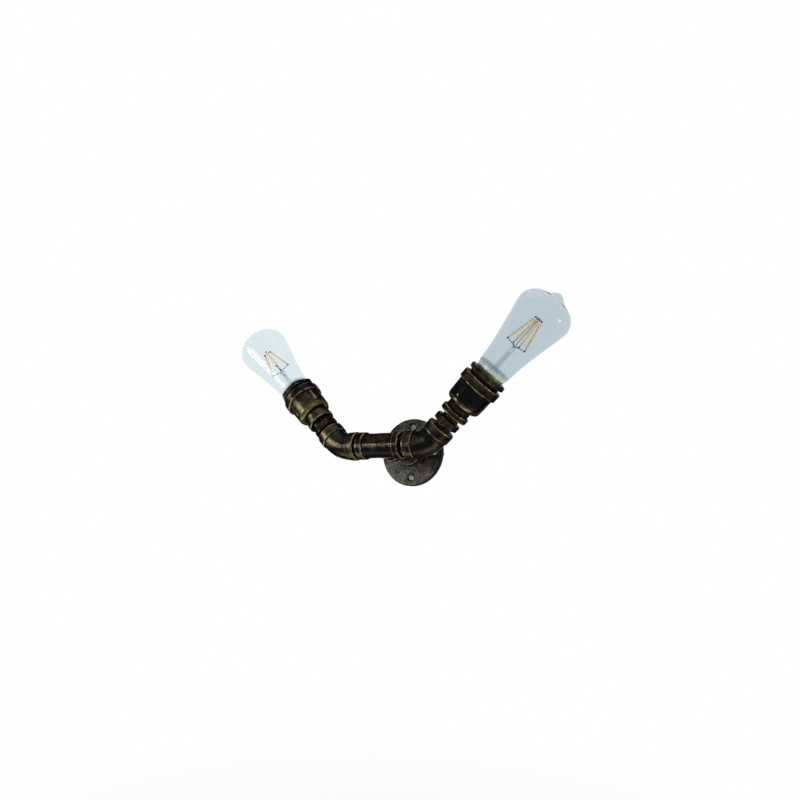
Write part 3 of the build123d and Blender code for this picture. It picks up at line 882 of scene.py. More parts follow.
def rounded_steps(length: float, margin: float, fine: float, coarse: float) -> np.ndarray:
    """Distances from 0 to a length, closer together near its two ends.

    Args:
        length: The whole length.
        margin: How far from each end the fine steps run.
        fine: The fine step.
        coarse: The step in the middle.

    Returns:
        The distances, rising.
    """
    margin = min(margin, length * 0.45)
    close = np.arange(0, margin, fine)
    middle = np.linspace(margin, length - margin, max(2, math.ceil((length - 2 * margin) / coarse)))
    return np.concatenate([close, middle, length - close[::-1]])


def polar_surface(
    axis: StraightAxis,
    angles: np.ndarray,
    blocks: Sequence[Rows],
    bore: float,
) -> Surface:
    """Close a tube whose outside is given as blocks of rows and whose bore is round.

    The blocks follow one another along the axis. A block that starts where the last ended, at another
    radius, makes a flat ring between them. The bore's rows run back to the start.

    Args:
        axis: The tube's axis.
        angles: The angles of the columns.
        blocks: Radius grids with the stations of their rows.
        bore: The bore's radius.

    Returns:
        The closed grid.
    """
    radii = [np.broadcast_to(radius, (len(stations), len(angles))) for radius, stations in blocks]
    stations = [stations for _, stations in blocks]
    first, last = stations[0][0], stations[-1][-1]
    back = np.linspace(last, first, BORE_ROWS)
    radii.append(np.full((len(back), len(angles)), bore))
    stations.append(back)
    radius, station = np.concatenate(radii), np.concatenate(stations)
    return Surface(axis.place(radius, angles[None, :], station[:, None]))


def plain_block(radius: float, stations: Sequence[float]) -> Rows:
    """Rows of a round, smooth stretch."""
    stations = np.array(stations, float)
    return np.full((len(stations), 1), radius), stations


# ---------------------------------------------------------------------------------------------------
# Shared sizes
# ---------------------------------------------------------------------------------------------------
@dataclass(frozen=True)
class PipeSizes:
    """The half inch pipe and the fittings' common sizes."""

    thread_radius: float = 10.4
    socket_radius: float = 10.6
    bore_radius: float = 7.9
    passage_radius: float = 9.3
    engagement: float = 13.0
    band_round: float = 1.4
    band_root_round: float = 0.8
    wall_to_run: float = 78.0
    tee_reach: float = 29.0
    elbow_reach: float = 25.5

    def run_axis(self, side: Side) -> StraightAxis:
        """The run's axis, out from the tee's middle towards one side."""
        return StraightAxis((0, -self.wall_to_run, 0), (side.value, 0, 0), (0, -1, 0))

    def gap(self, side: Side) -> float:
        """The thread that shows between the tee and an elbow."""
        return 3.0 if side is Side.LEFT else 5.0

    def elbow_middle(self, side: Side) -> Vector3:
        """Where an elbow's two legs would cross."""
        across = self.tee_reach + self.gap(side) + self.elbow_reach
        return (side.value * across, -self.wall_to_run, 0)

    def arm_axis(self, side: Side) -> StraightAxis:
        """An arm's axis, out and up at 45 degrees from the elbow's middle."""
        slant = math.sqrt(0.5)
        return StraightAxis(self.elbow_middle(side), (side.value * slant, 0, slant), (0, -1, 0))


PIPE = PipeSizes()


@dataclass(frozen=True)
class ArmStations:
    """Where the pieces of an arm begin and end, in stations from the elbow's middle."""

    hex_start: float = 30.2
    hex_end: float = 38.0
    socket_start: float = 43.7
    small_band_end: float = 50.8
    shoulder_start: float = 58.0
    body_start: float = 63.6
    wide_band_start: float = 83.6
    wide_band_end: float = 94.6
    bushing_start: float = 84.6
    bushing_hex_start: float = 98.0
    mouth: float = 104.0
    cavity_floor: float = 61.2
    cap_start: float = 77.5
    cap_end: float = 97.5
    neck_start: float = 90.0
    lower_ring: float = 147.4
    upper_ring: float = 182.5
    glass_shoulder: float = 190.5
    glass_top: float = 212.0
    pip_top: float = 216.5


STATIONS = ArmStations()


# ---------------------------------------------------------------------------------------------------
# The wall mount
# ---------------------------------------------------------------------------------------------------
@dataclass
class WallMount:
    """The flange on the wall, its four screws and the nipple that carries the tee."""

    finishes: Finishes
    flange_radius: float = 42.5
    thickness: float = 6.0
    rim_round: float = 1.2
    back_round: float = 0.6
    hub_radius: float = 17.0
    hub_height: float = 9.5
    hub_root_round: float = 2.5
    hub_edge_round: float = 1.0
    screw_circle: float = 31.5
    hole_radius: float = 3.0
    sink_radius: float = 5.8
    sink_depth: float = 3.4
    nipple_radius: float = 10.65
    nipple_facets: int = 96
    flange_facets: int = 200
    flange_unevenness: float = 0.35
    cutter_rise: float = 2.0
    shank_corners: tuple[Corner, ...] = (
        (0, -24.0, 0), (1.9, -20.0, 0), (1.9, 0, 0), (2.7, 0.2, 0), (2.7, 2.3, 0), (4.0, 3.82, 0.15),
        (3.9, 4.2, 0.2))
    dome_radius: float = 3.7
    dome_start: float = 4.25
    dome_rise: float = 1.05
    recess_depth: float = 1.7
    recess_turns: Span = (23, 31)
    axis: StraightAxis = StraightAxis((0, 0, 0), (0, -1, 0), (0, 0, 1))

    def screw_axes(self) -> list[StraightAxis]:
        """The axes of the four screws, from the top one round."""
        angles = even_angles(4)
        places = self.axis.place(np.full(4, self.screw_circle), angles, np.zeros(4))
        return [StraightAxis(tuple(place), (0, -1, 0), (0, 0, 1)) for place in places]

    def build(self) -> None:
        """Make the flange, the screws and the nipple."""
        self.build_flange()
        self.build_screws()
        self.build_nipple()

    def build_flange(self) -> None:
        """Turn the flange with its hub, and sink its screw holes.

        The outline is turned with a slight casting unevenness. Each hole is a turned cutter, a cone over
        a cylinder, taken away from it.
        """
        top, bore = self.thickness + self.hub_height, PIPE.thread_radius
        corners = [
            (bore, 0, 0), (self.flange_radius, 0, self.back_round),
            (self.flange_radius, self.thickness, self.rim_round),
            (self.hub_radius, self.thickness, self.hub_root_round),
            (self.hub_radius, top, self.hub_edge_round), (bore + 1.0, top, 0), (bore, top - 1.0, 0)]
        outline = rounded_outline(corners, step=1.1)
        surface = turned_surface(self.axis, outline, even_angles(self.flange_facets))
        front = rise(outline[:, 1], 1.0, self.thickness)[:, None]
        surface.points[..., 1] -= casting_waves(surface.points, self.flange_unevenness, 11) * front
        flange = make_piece("flange", [surface], "wall_mount", ["wall_flange"],
                            self.finishes.flange_iron)
        for axis in self.screw_axes():
            cut_away(flange, self.screw_cutter(axis))

    def screw_cutter(self, axis: StraightAxis) -> Surface:
        """The countersunk hole's shape, closed at both ends on its axis."""
        bottom = self.thickness - self.sink_depth
        slope = (self.sink_radius - self.hole_radius) / self.sink_depth
        above = self.cutter_rise
        corners = [(0, -1, 0), (self.hole_radius, -1, 0), (self.hole_radius, bottom, 0),
                   (self.sink_radius + above * slope, self.thickness + above, 0),
                   (0, self.thickness + above, 0)]
        outline = rounded_outline(corners, step=3.0, closed=False)
        return turned_surface(axis, outline, even_angles(48), closed=False)

    def build_screws(self) -> None:
        """Turn the four raised-head screws with their cross recesses.

        The head's top is a low dome. The recess is a smooth cross of two slots, deepest at the middle and
        gone before the head's edge.
        """
        dome = np.linspace(self.dome_radius, 0, 26)
        corners = [*self.shank_corners, (self.dome_radius, self.dome_start, 0)]
        under = rounded_outline(corners, step=1.5, closed=False)
        height = self.dome_start + self.dome_rise * (1 - (dome / self.dome_radius) ** 2)
        outline = np.concatenate([under, np.stack([dome, height], axis=1)[1:]])
        angles = even_angles(96)
        surfaces = []
        for number, axis in enumerate(self.screw_axes()):
            points = turned_surface(axis, outline, angles, closed=False).points
            turn = math.radians(self.recess_turns[0] + self.recess_turns[1] * number)
            across = np.abs(outline[:, :1] * np.sin(angles[None, :] - turn))
            along = np.abs(outline[:, :1] * np.cos(angles[None, :] - turn))
            slot = 1 - rise(np.minimum(across, along), 0.35, 0.75)
            depth = self.recess_depth * slot * (1 - rise(np.maximum(across, along), 1.2, 2.5))
            depth[: len(under)] = 0
            points[..., 1] += depth
            surfaces.append(Surface(points, rows_close=False))
        make_piece("flange_screws", surfaces, "wall_mount", ["wall_screws"],
                   self.finishes.screw, sharp_angle=50)

    def build_nipple(self) -> None:
        """Wind the threads at both ends of the wall nipple around its plain middle."""
        hub_top = self.thickness + self.hub_height
        branch_end = PIPE.wall_to_run - PIPE.tee_reach
        angles = even_angles(self.nipple_facets)
        thread = PipeThread()
        middle = rounded_outline([(10.0, hub_top + 1.0, 0), (self.nipple_radius, hub_top + 1.6, 0.4),
                                  (self.nipple_radius, branch_end - 1.6, 0.4),
                                  (10.0, branch_end - 1.0, 0)], closed=False)
        blocks = [thread.block(angles, hub_top - PIPE.engagement, hub_top + 1.0),
                  (middle[:, :1], middle[:, 1]),
                  thread.block(angles, branch_end - 1.0, branch_end + PIPE.engagement)]
        surface = polar_surface(self.axis, angles, blocks, PIPE.bore_radius)
        make_piece("nipple_to_wall", [surface], "wall_mount", ["wall_nipple"],
                   self.finishes.iron)


def cut_away(piece: bpy.types.Object, cutter: Surface) -> None:
    """Take a closed surface away from a piece and keep the result in its mesh.

    Args:
        piece: The piece to cut.
        cutter: The closed surface whose inside goes.
    """
    tool = put_in_scene("cutter", closed_mesh("cutter", [cutter]))
    step = piece.modifiers.new("screw_hole", "BOOLEAN")
    step.operation, step.solver, step.object = "DIFFERENCE", "EXACT", tool
    graph = bpy.context.evaluated_depsgraph_get()
    cut = bpy.data.meshes.new_from_object(piece.evaluated_get(graph))
    piece.modifiers.remove(step)
    cut.name = piece.data.name
    cut.set_sharp_from_angle(angle=math.radians(SHARP_ANGLE))
    mark_curvature(cut)
    piece.data = cut
    bpy.data.objects.remove(tool)


# ---------------------------------------------------------------------------------------------------
# The run: tee and close nipples
# ---------------------------------------------------------------------------------------------------
@dataclass
class Run:
    """The tee and the two close nipples that join the elbows to it."""

    finishes: Finishes
    body_radius: float = 14.6
    band_radius: float = 16.4
    band_width: float = 9.0
    throat_round: float = 3.0
    fin_height: float = 0.18
    fin_width: float = 0.8
    facets: int = 192
    nipple_facets: int = 96
    throat_rows: int = 7
    unevenness: float = 0.28

    def build(self) -> None:
        """Make the tee and both nipples."""
        self.build_tee()
        for side in Side:
            self.build_nipple(side)

    def build_tee(self) -> None:
        """Make the tee from its outer skin, its inner skin and the ends that join them."""
        reach, engaged = PIPE.tee_reach, PIPE.tee_reach - PIPE.engagement
        band_start, socket = reach - self.band_width, PIPE.socket_radius
        outer = [
            (self.body_radius, band_start - 1.5, 0), (self.body_radius, band_start, PIPE.band_root_round),
            (self.band_radius, band_start, PIPE.band_round), (self.band_radius, reach, PIPE.band_round),
            (socket + 0.9, reach, 0), (socket, reach - 0.9, 0), (socket, engaged, 0),
            (PIPE.passage_radius, engaged, 0)]
        angles = even_angles(self.facets)
        skin = rounded_outline(outer, closed=False)
        inner = np.array([(PIPE.passage_radius, engaged)])
        surfaces = self.tee_skin(self.body_radius, self.throat_round, skin, angles, 0.7)
        surfaces += self.tee_skin(PIPE.passage_radius, 0.5, inner, angles, 3.0)
        for surface in surfaces:
            self.cast(surface)
        make_piece("pipe_tee", surfaces, "run", ["tee"], self.finishes.iron)

    def tee_skin(self, radius: float, fillet: float, ends: np.ndarray, angles: np.ndarray,
                 step: float) -> list[Surface]:
        """The skin of a tee whose run and branch have one radius, with a rolled fillet between them.

        A ball of the fillet's radius that rolls between the run and the branch has its centre at (radius
        plus fillet) times (cosine, absolute cosine, sine) of the angle around the branch. It touches the
        run straight below the centre and the branch straight beside it, and the fillet's rows turn from
        one touch to the other. The run's rows end on the ball's touch, at a distance from the middle of
        that sum times the cosine, or at the middle itself on the half away from the branch.

        Args:
            radius: The skin's radius.
            fillet: The rolled ball's radius.
            ends: Rows of (radius, station) that finish each of the three legs.
            angles: The angles around each axis, counted from the wall's side.
            step: The longest step along a leg.

        Returns:
            The three legs' surfaces, which share their edges.
        """
        sums, leg_end = radius + fillet, ends[0, 1]
        cosine, sine = np.cos(angles), np.sin(angles)
        rows = max(2, math.ceil(leg_end / step))
        share = np.linspace(0, 1, rows)[:, None]
        out = np.concatenate([np.full((rows, 1), radius), ends[1:, :1]])

        def stations(start: np.ndarray) -> np.ndarray:
            """The stations of a leg's rows, from its start at each angle to its end."""
            leg = start + (leg_end - start) * share
            return np.concatenate([leg, np.repeat(ends[1:, 1:], len(angles), 1)])

        along = stations(sums * np.maximum(cosine, 0)[None, :])
        legs = [np.broadcast_arrays(side.value * along, out * cosine, out * sine) for side in Side]
        surfaces = [np.stack(leg, -1) for leg in legs]
        centre = np.stack([sums * cosine, sums * np.abs(cosine), sums * sine], -1)
        to_run = np.stack([0 * cosine, -np.abs(cosine), -sine], -1)
        to_branch = np.stack([-cosine, 0 * cosine, -sine], -1)
        arc = np.linspace(0, 1, self.throat_rows)[:, None, None]
        throat = centre + fillet * unit((1 - arc) * to_run + arc * to_branch)
        along = stations(sums * np.abs(cosine)[None, :])
        branch = np.stack(np.broadcast_arrays(out * cosine, along, out * sine), -1)
        surfaces.append(np.concatenate([throat, branch[1:]]))
        middle = np.array((0, -PIPE.wall_to_run, 0))
        return [Surface(points + middle, rows_close=False) for points in surfaces]

    def cast(self, surface: Surface) -> None:
        """Raise the mould's parting line and the casting's unevenness on a tee surface.

        The line lies in the level plane through the run and the branch: its height is a bell curve of the
        distance from that plane, made ragged by waves. Both are added away from the nearer axis.
        """
        local = surface.points - np.array((0, -PIPE.wall_to_run, 0))
        run_out, branch_out = local * (0, 1, 1), local * (1, 0, 1)
        is_branch = local[..., 1] > np.abs(local[..., 0])
        out = np.where(is_branch[..., None], branch_out, run_out)
        distance = np.linalg.norm(out, axis=-1)
        ragged = 0.75 + 2.2 * casting_waves(surface.points * 2.5, 1.0, 5)
        wander = local[..., 2] - 0.9 * casting_waves(surface.points * (1, 1, 0) * 1.4, 1.0, 9)
        fin = self.fin_height * np.clip(ragged, 0.2, 1.6) * np.exp(-((wander / self.fin_width) ** 2))
        outside = rise(distance, self.body_radius - 1.0, self.body_radius - 0.5)
        lift = (fin + casting_waves(surface.points, self.unevenness, 3)) * outside
        surface.points += out / np.maximum(distance, 1e-6)[..., None] * lift[..., None]

    def build_nipple(self, side: Side) -> None:
        """Wind a close nipple's thread, which shows between the tee and an elbow."""
        angles = even_angles(self.nipple_facets)
        start = PIPE.tee_reach - PIPE.engagement
        end = PIPE.tee_reach + PIPE.gap(side) + PIPE.engagement
        block = PipeThread(start_angle=1.0).block(angles, start, end)
        surface = polar_surface(PIPE.run_axis(side), angles, [block], PIPE.bore_radius)
        make_piece(f"close_nipple_{side.word}", [surface], "run", [f"{side.word}_run_nipple"],
                   self.finishes.iron)


# ---------------------------------------------------------------------------------------------------
# An arm: elbow, hexagon nipple, reducing socket, bushing
# ---------------------------------------------------------------------------------------------------
def unrolled(angle: np.ndarray, station: np.ndarray, radius: np.ndarray) -> np.ndarray:
    """Points whose coordinates are the station, and the radius times the angle's cosine and sine."""
    return np.stack(np.broadcast_arrays(station, radius * np.cos(angle), radius * np.sin(angle)), -1)


@dataclass
class Arm:
    """The iron fittings of one arm."""

    side: Side
    finishes: Finishes
    elbow_body: float = 15.6
    elbow_band: float = 16.8
    elbow_band_width: float = 11.8
    fin_height: float = 0.45
    fin_width: float = 0.55
    nipple_flats: float = 26.8
    nipple_bevel: float = 0.7
    small_band: float = 16.9
    neck_radius: float = 14.3
    body_radius: float = 20.8
    flare: float = 1.0
    wide_band: float = 24.1
    rib_count: int = 4
    rib_width: float = 3.0
    rib_stand: float = 2.4
    rib_toe_start: float = 1.5
    rib_toe_end: float = 5.0
    bushing_flats: float = 41.2
    bushing_bevel: float = 1.0
    bushing_thread: float = 20.3
    bushing_relief: float = 1.0
    bushing_bore: float = 17.3
    cavity_radius: float = 18.3
    shoulder_round: float = 5.6
    elbow_facets: int = 200
    nipple_facets: int = 192
    socket_facets: int = 288
    bushing_facets: int = 240
    elbow_unevenness: float = 0.3
    socket_unevenness: float = 0.22

    @property
    def body(self) -> str:
        """The body that the arm's fittings ride on."""
        return f"{self.side.word}_arm"

    @property
    def axis(self) -> StraightAxis:
        """The arm's axis."""
        return PIPE.arm_axis(self.side)

    def turned_by(self, left: float, right: float) -> float:
        """The value that belongs to this side."""
        return left if self.side is Side.LEFT else right

    def piece(self, name: str, node: str, surface: Surface) -> None:
        """Make one iron fitting of this arm."""
        word = self.side.word
        make_piece(f"{name}_{word}", [surface], self.body, [f"{word}_{node}"],
                   self.finishes.iron)

    def build(self) -> None:
        """Make the four fittings."""
        self.build_elbow()
        self.build_hex_nipple()
        self.build_reducing_socket()
        self.build_bushing()

    def build_elbow(self) -> None:
        """Turn the elbow's banded outline about a bent axis.

        The mould's parting line follows the plane of the bend: its height is a bell curve of the arc
        length away from that plane, made ragged by waves.
        """
        band, edge, root = self.elbow_band_width, PIPE.band_round, PIPE.band_root_round
        run = (self.side.value, 0, 0)
        bent = BentAxis(PIPE.elbow_middle(self.side), run, self.axis.along, (0, -1, 0),
                        PIPE.elbow_reach, band)
        length, engaged = bent.length, PIPE.engagement
        inside, socket, passage = PIPE.thread_radius, PIPE.socket_radius, PIPE.passage_radius
        corners = [
            (self.elbow_band, 0, edge), (self.elbow_band, band, edge), (self.elbow_body, band, root),
            (self.elbow_body, length - band, root), (self.elbow_band, length - band, edge),
            (self.elbow_band, length, edge), (inside + 0.9, length, 0), (inside, length - 0.9, 0),
            (inside, length - engaged, 0), (passage, length - engaged, 0), (passage, engaged, 0),
            (socket, engaged, 0), (socket, 0.9, 0), (socket + 0.9, 0, 0)]
        fins = (math.pi / 2, -math.pi / 2)
        angles = crowded_angles(self.elbow_facets, fins, 0.12, 2.0)
        surface = turned_surface(bent, rounded_outline(corners), angles, self.elbow_fin)
        self.piece("pipe_elbow", "elbow", surface)

    def elbow_fin(self, angle: np.ndarray, station: np.ndarray, radius: np.ndarray) -> np.ndarray:
        """The elbow's parting line and unevenness as extra radius."""
        places = unrolled(angle, station, radius)
        ragged = np.clip(0.7 + 2.4 * casting_waves(places * 2.2, 1.0, 21), 0.1, 1.6)
        away = radius * np.cos(angle) - 1.2 * casting_waves(places * (1, 0, 1), 1.0, 8)
        fin = self.fin_height * ragged * np.exp(-((away / self.fin_width) ** 2))
        outside = radius > self.elbow_body - 1.0
        return (fin + casting_waves(places, self.elbow_unevenness, 17)) * outside

    def build_hex_nipple(self) -> None:
        """Make the hexagon nipple: thread, spanner hexagon, thread."""
        at, angles = STATIONS, even_angles(self.nipple_facets)
        thread = PipeThread(start_angle=2.0)
        hexagon = Hexagon(self.nipple_flats, at.hex_start, at.hex_end, self.nipple_bevel,
                          self.turned_by(45.0, 1.0) + 30.0)
        blocks = [thread.block(angles, PIPE.elbow_reach - PIPE.engagement, at.hex_start),
                  hexagon.block(angles),
                  thread.block(angles, at.hex_end, at.socket_start + PIPE.engagement)]
        self.piece("spanner_nipple", "hex_nipple", polar_surface(self.axis, angles, blocks, PIPE.bore_radius))

    def build_reducing_socket(self) -> None:
        """Turn the bell-shaped reducer, with its ribs raised on the body."""
        at, edge, root = STATIONS, PIPE.band_round, PIPE.band_root_round
        thread, seat, cavity = PIPE.thread_radius, self.bushing_thread, self.cavity_radius
        corners = [
            (thread + 0.9, at.socket_start, 0), (self.small_band, at.socket_start, edge),
            (self.small_band, at.small_band_end, edge), (self.neck_radius, at.small_band_end, root),
            (self.neck_radius, at.shoulder_start, root),
            (self.body_radius, at.shoulder_start, self.shoulder_round),
            (self.body_radius + self.flare, at.wide_band_start, root),
            (self.wide_band, at.wide_band_start, edge),
            (self.wide_band, at.wide_band_end, edge), (seat + 0.8, at.wide_band_end, 0),
            (seat, at.wide_band_end - 0.8, 0), (seat, at.wide_band_start, 0), (cavity, at.wide_band_start, 0),
            (cavity, at.cavity_floor, 0), (thread, at.cavity_floor, 0), (thread, at.socket_start + 0.9, 0)]
        angles = crowded_angles(self.socket_facets, self.rib_angles(), 0.09, 3.0)
        surface = turned_surface(self.axis, rounded_outline(corners, 0.6), angles, self.socket_relief)
        self.piece("bell_reducer", "reducing_socket", surface)

    def rib_angles(self) -> list[float]:
        """The angles of the ribs, counted from the direction away from the wall."""
        first = math.radians(self.turned_by(60.0, 86.0))
        return [first + turned * 2 * math.pi / self.rib_count for turned in range(self.rib_count)]

    def socket_relief(self, angle: np.ndarray, station: np.ndarray, radius: np.ndarray) -> np.ndarray:
        """The ribs and the casting's unevenness as extra radius.

        A rib reaches a fixed radius: what it adds is that radius less the body's, times a smooth step up
        from its toe and a smooth step down across each side.
        """
        start = STATIONS.body_start
        away = np.abs(np.angle(np.exp(1j * (angle[..., None] - np.array(self.rib_angles()))))).min(axis=-1)
        across = 1 - rise(away * radius, self.rib_width / 2 - 0.35, self.rib_width / 2 + 0.45)
        toe = rise(station, start + self.rib_toe_start - 0.6, start + self.rib_toe_start + 0.8)
        toe = toe * (0.42 + 0.58 * rise(station, start + self.rib_toe_start, start + self.rib_toe_end))
        until = 1 - rise(station, STATIONS.wide_band_start + 1.0, STATIONS.wide_band_start + 1.6)
        height = np.maximum(self.body_radius + self.rib_stand - radius, 0)
        outside = radius > self.neck_radius - 1.0
        on_body = radius > self.body_radius - 0.5
        cast = casting_waves(unrolled(angle, station, radius), self.socket_unevenness, 29)
        return height * across * toe * until * on_body + cast * outside

    def build_bushing(self) -> None:
        """Make the hexagon bushing, whose bore the lamp stands in."""
        at, angles = STATIONS, even_angles(self.bushing_facets)
        relief = self.bushing_thread - self.bushing_relief
        fine = PipeThread(crest=self.bushing_thread, depth=0.9)
        hexagon = Hexagon(self.bushing_flats, at.bushing_hex_start, at.mouth, self.bushing_bevel,
                          self.turned_by(33.0, 40.5) + 30.0, corner_softness=0.16)
        lip = np.array([(self.bushing_bore + 1.0, at.mouth), (self.bushing_bore + 0.5, at.mouth - 0.15)])
        end = at.wide_band_end
        blocks = [fine.block(angles, at.bushing_start, end + 0.6),
                  plain_block(relief, (end + 0.8, end + 1.9, at.bushing_hex_start)),
                  hexagon.block(angles), (lip[:, :1], lip[:, 1])]
        self.piece("hexagon_bush", "hex_bushing", polar_surface(self.axis, angles, blocks, self.bushing_bore))


# ---------------------------------------------------------------------------------------------------
# A lamp: glass, cap, filaments
# ---------------------------------------------------------------------------------------------------
def smooth_curve(points: np.ndarray, first: Sequence[float], last: Sequence[float],
                 step: float) -> np.ndarray:
    """A curve through points with set directions at its two ends.

    It is the clamped cubic spline: over each chord the curve is a cubic, and the slopes at the inner
    points are those for which the second derivative doesn't jump. They solve one linear system, with the
    chord lengths as the parameter.

    Args:
        points: Rows that the curve passes through.
        first: The direction at the first point.
        last: The direction at the last point.
        step: The distance between the points returned.

    Returns:
        Rows along the curve, both ends included.
    """
    chord = np.hypot(*(points[1:] - points[:-1]).T)
    count = len(points)
    system, slopes = np.eye(count), np.zeros((count, 2))
    inner = np.arange(1, count - 1)
    system[inner, inner - 1] = 1 / chord[:-1]
    system[inner, inner] = 2 / chord[:-1] + 2 / chord[1:]
    system[inner, inner + 1] = 1 / chord[1:]
    ahead = (points[2:] - points[1:-1]) / chord[1:, None] ** 2
    behind = (points[1:-1] - points[:-2]) / chord[:-1, None] ** 2
    slopes[1:-1] = 3 * (ahead + behind)
    slopes[0], slopes[-1] = unit(first), unit(last)
    slopes = np.linalg.solve(system, slopes)
    curves = []
    for number, length in enumerate(chord):
        share = np.linspace(0, 1, max(3, math.ceil(length / step)), endpoint=False)[:, None]
        here, there = points[number], points[number + 1]
        curve = (2 * share**3 - 3 * share**2 + 1) * here + (3 * share**2 - 2 * share**3) * there
        curve += length * ((share**3 - 2 * share**2 + share) * slopes[number])
        curve += length * ((share**3 - share**2) * slopes[number + 1])
        curves.append(curve)
    return np.concatenate([*curves, points[-1:]])


@dataclass
class Lamp:
    """One pear-shaped filament lamp with its screw cap."""

    side: Side
    finishes: Finishes
    glass_radius: float = 32.0
    mouth_radius: float = 16.3
    neck_radius: float = 12.65
    wall: float = 0.9
    dome_height: float = 21.5
    taper_profile: tuple = ((0.19, 0.25), (0.55, 0.55), (0.83, 0.86))
    dome_angles: tuple = (32.0, 56.0)
    pip_foot: tuple = (9.1, -0.3)
    pip_side: tuple = (5.6, 2.5)
    cap_radius: float = 13.1
    cap_wall: float = 0.35
    cap_foot: tuple = ((8.7, 0.0), (10.9, 0.0), (12.4, 0.7))
    cap_pitch: float = 25.4 / 7
    cap_depth: float = 0.8
    filament_radius: float = 1.25
    foot_height: dict = field(default_factory=lambda: {Side.LEFT: -1.0, Side.RIGHT: 3.2})
    mist_height: float = 9.0
    lower_ring_radius: float = 12.4
    upper_ring_radius: float = 4.6
    crimp_length: float = 2.2
    filament_turns: Span = (20.0, 45.0)
    filament_count: int = 4
    filament_end: float = 0.9
    glass_facets: int = 160
    cap_facets: int = 96
    cap_rows: int = 90
    thread_start: float = 1.6

    @property
    def body(self) -> str:
        """The body that the turning parts of the lamp ride on."""
        return f"{self.side.word}_bulb"

    @property
    def axis(self) -> StraightAxis:
        """The lamp's axis, which is the arm's."""
        return PIPE.arm_axis(self.side)

    def piece(self, name: str, node: str, surfaces: list[Surface], slot: str, material: Material,
              sharp_angle: float = SHARP_ANGLE) -> bpy.types.Object:
        """Make one piece of this lamp, named after its side."""
        word = self.side.word
        return make_piece(f"{name}_{word}", surfaces, self.body, [f"{word}_{node}"], material,
                          sharp_angle)

    def build(self) -> None:
        """Make the glass, the cap and the filaments."""
        self.build_glass()
        self.build_cap()
        self.build_filaments()

    def glass_outline(self, inset: float) -> np.ndarray:
        """The glass from its neck to its pip.

        The taper swells by given shares of its width, the dome's points lie on an ellipse, and a smooth
        curve passes through each.

        Args:
            inset: How far inside the outer skin it lies.

        Returns:
            Rows of (radius, station).
        """
        at = STATIONS
        neck = np.array([(self.neck_radius - inset, at.neck_start)])
        taper = [(self.neck_radius - inset, at.cap_end), (self.mouth_radius - inset, at.mouth)]
        wide, long = self.glass_radius - self.mouth_radius, at.glass_shoulder - at.mouth
        for share, swell in self.taper_profile:
            taper.append((self.mouth_radius + wide * swell - inset, at.mouth + long * share))
        taper.append((self.glass_radius - inset, at.glass_shoulder))
        dome = [taper[-1]]
        for degrees in self.dome_angles:
            across = (self.glass_radius - inset) * math.cos(math.radians(degrees))
            up = (self.dome_height - inset) * math.sin(math.radians(degrees))
            dome.append((across, at.glass_shoulder + up))
        for radius, height in (self.pip_foot, self.pip_side):
            dome.append((radius - inset, at.glass_top + height - inset))
        dome.append((0, at.pip_top - inset))
        side = smooth_curve(np.array(taper), (0, 1), (0, 1), 1.2)
        top = smooth_curve(np.array(dome), (0, 1), (-1, 0), 0.8)
        return np.concatenate([neck, side, top[1:]])

    def build_glass(self) -> None:
        """Turn the glass's two skins and join them at the neck."""
        outline = np.concatenate([self.glass_outline(0), self.glass_outline(self.wall)[::-1]])
        surface = turned_surface(self.axis, outline, even_angles(self.glass_facets))
        mesh = self.piece("lamp_glass", "bulb_glass", [surface], "clear_glass",
                          self.finishes.glass[self.side], SOFT_SHARP_ANGLE).data
        along = np.array(self.axis.along)
        points = rows_of(mesh.vertices, "co") / METRES - np.array(self.axis.origin)
        station = points @ along
        away = points - along * STATIONS.lower_ring
        outer = ((away * rows_of(mesh.vertex_normals, "vector")).sum(axis=1) > 0).astype(float)
        top = STATIONS.mouth + self.foot_height[self.side]
        store(mesh, "mist", 1 - rise(station, top + 0.5, top + self.mist_height))
        store(mesh, "ring", rise(station, top - 2.6, top - 2.2) * (1 - rise(station, top + 0.3, top + 0.9)))
        store(mesh, "outer", outer)

    def build_cap(self) -> None:
        """Roll the cap's round thread and close its foot.

        The skin's radius is the crest less half the depth times one minus the cosine of the station over
        the pitch less the share of a turn. The thread fades out at the foot and where the glass begins,
        and the inside follows the skin at the wall's thickness.
        """
        at, angles = STATIONS, even_angles(self.cap_facets)[None, :]
        start = at.cap_start + self.thread_start
        stations = np.linspace(start, at.cap_end, self.cap_rows)
        phase = stations[:, None] / self.cap_pitch - angles / (2 * math.pi)
        fade = 1 - rise(stations, at.neck_start - 2.5, at.neck_start - 0.5)
        fade = rise(stations, start, start + 1.4) * fade
        skin = self.cap_radius - self.cap_depth / 2 * (1 - np.cos(2 * math.pi * phase)) * fade[:, None]
        foot = np.array(self.cap_foot)
        under = foot[::-1] + (-self.cap_wall / 2, self.cap_wall)
        flat = [np.broadcast_to(rows[:, :1], (len(rows), angles.size)) for rows in (foot, under)]
        radius = np.concatenate([flat[0], skin, (skin - self.cap_wall)[::-1], flat[1]])
        station = np.concatenate([at.cap_start + foot[:, 1], stations, stations[::-1],
                                  at.cap_start + under[:, 1]])
        surface = Surface(self.axis.place(radius, angles, station[:, None]))
        self.piece("screw_cap", "bulb_cap", [surface], "brass", self.finishes.brass)

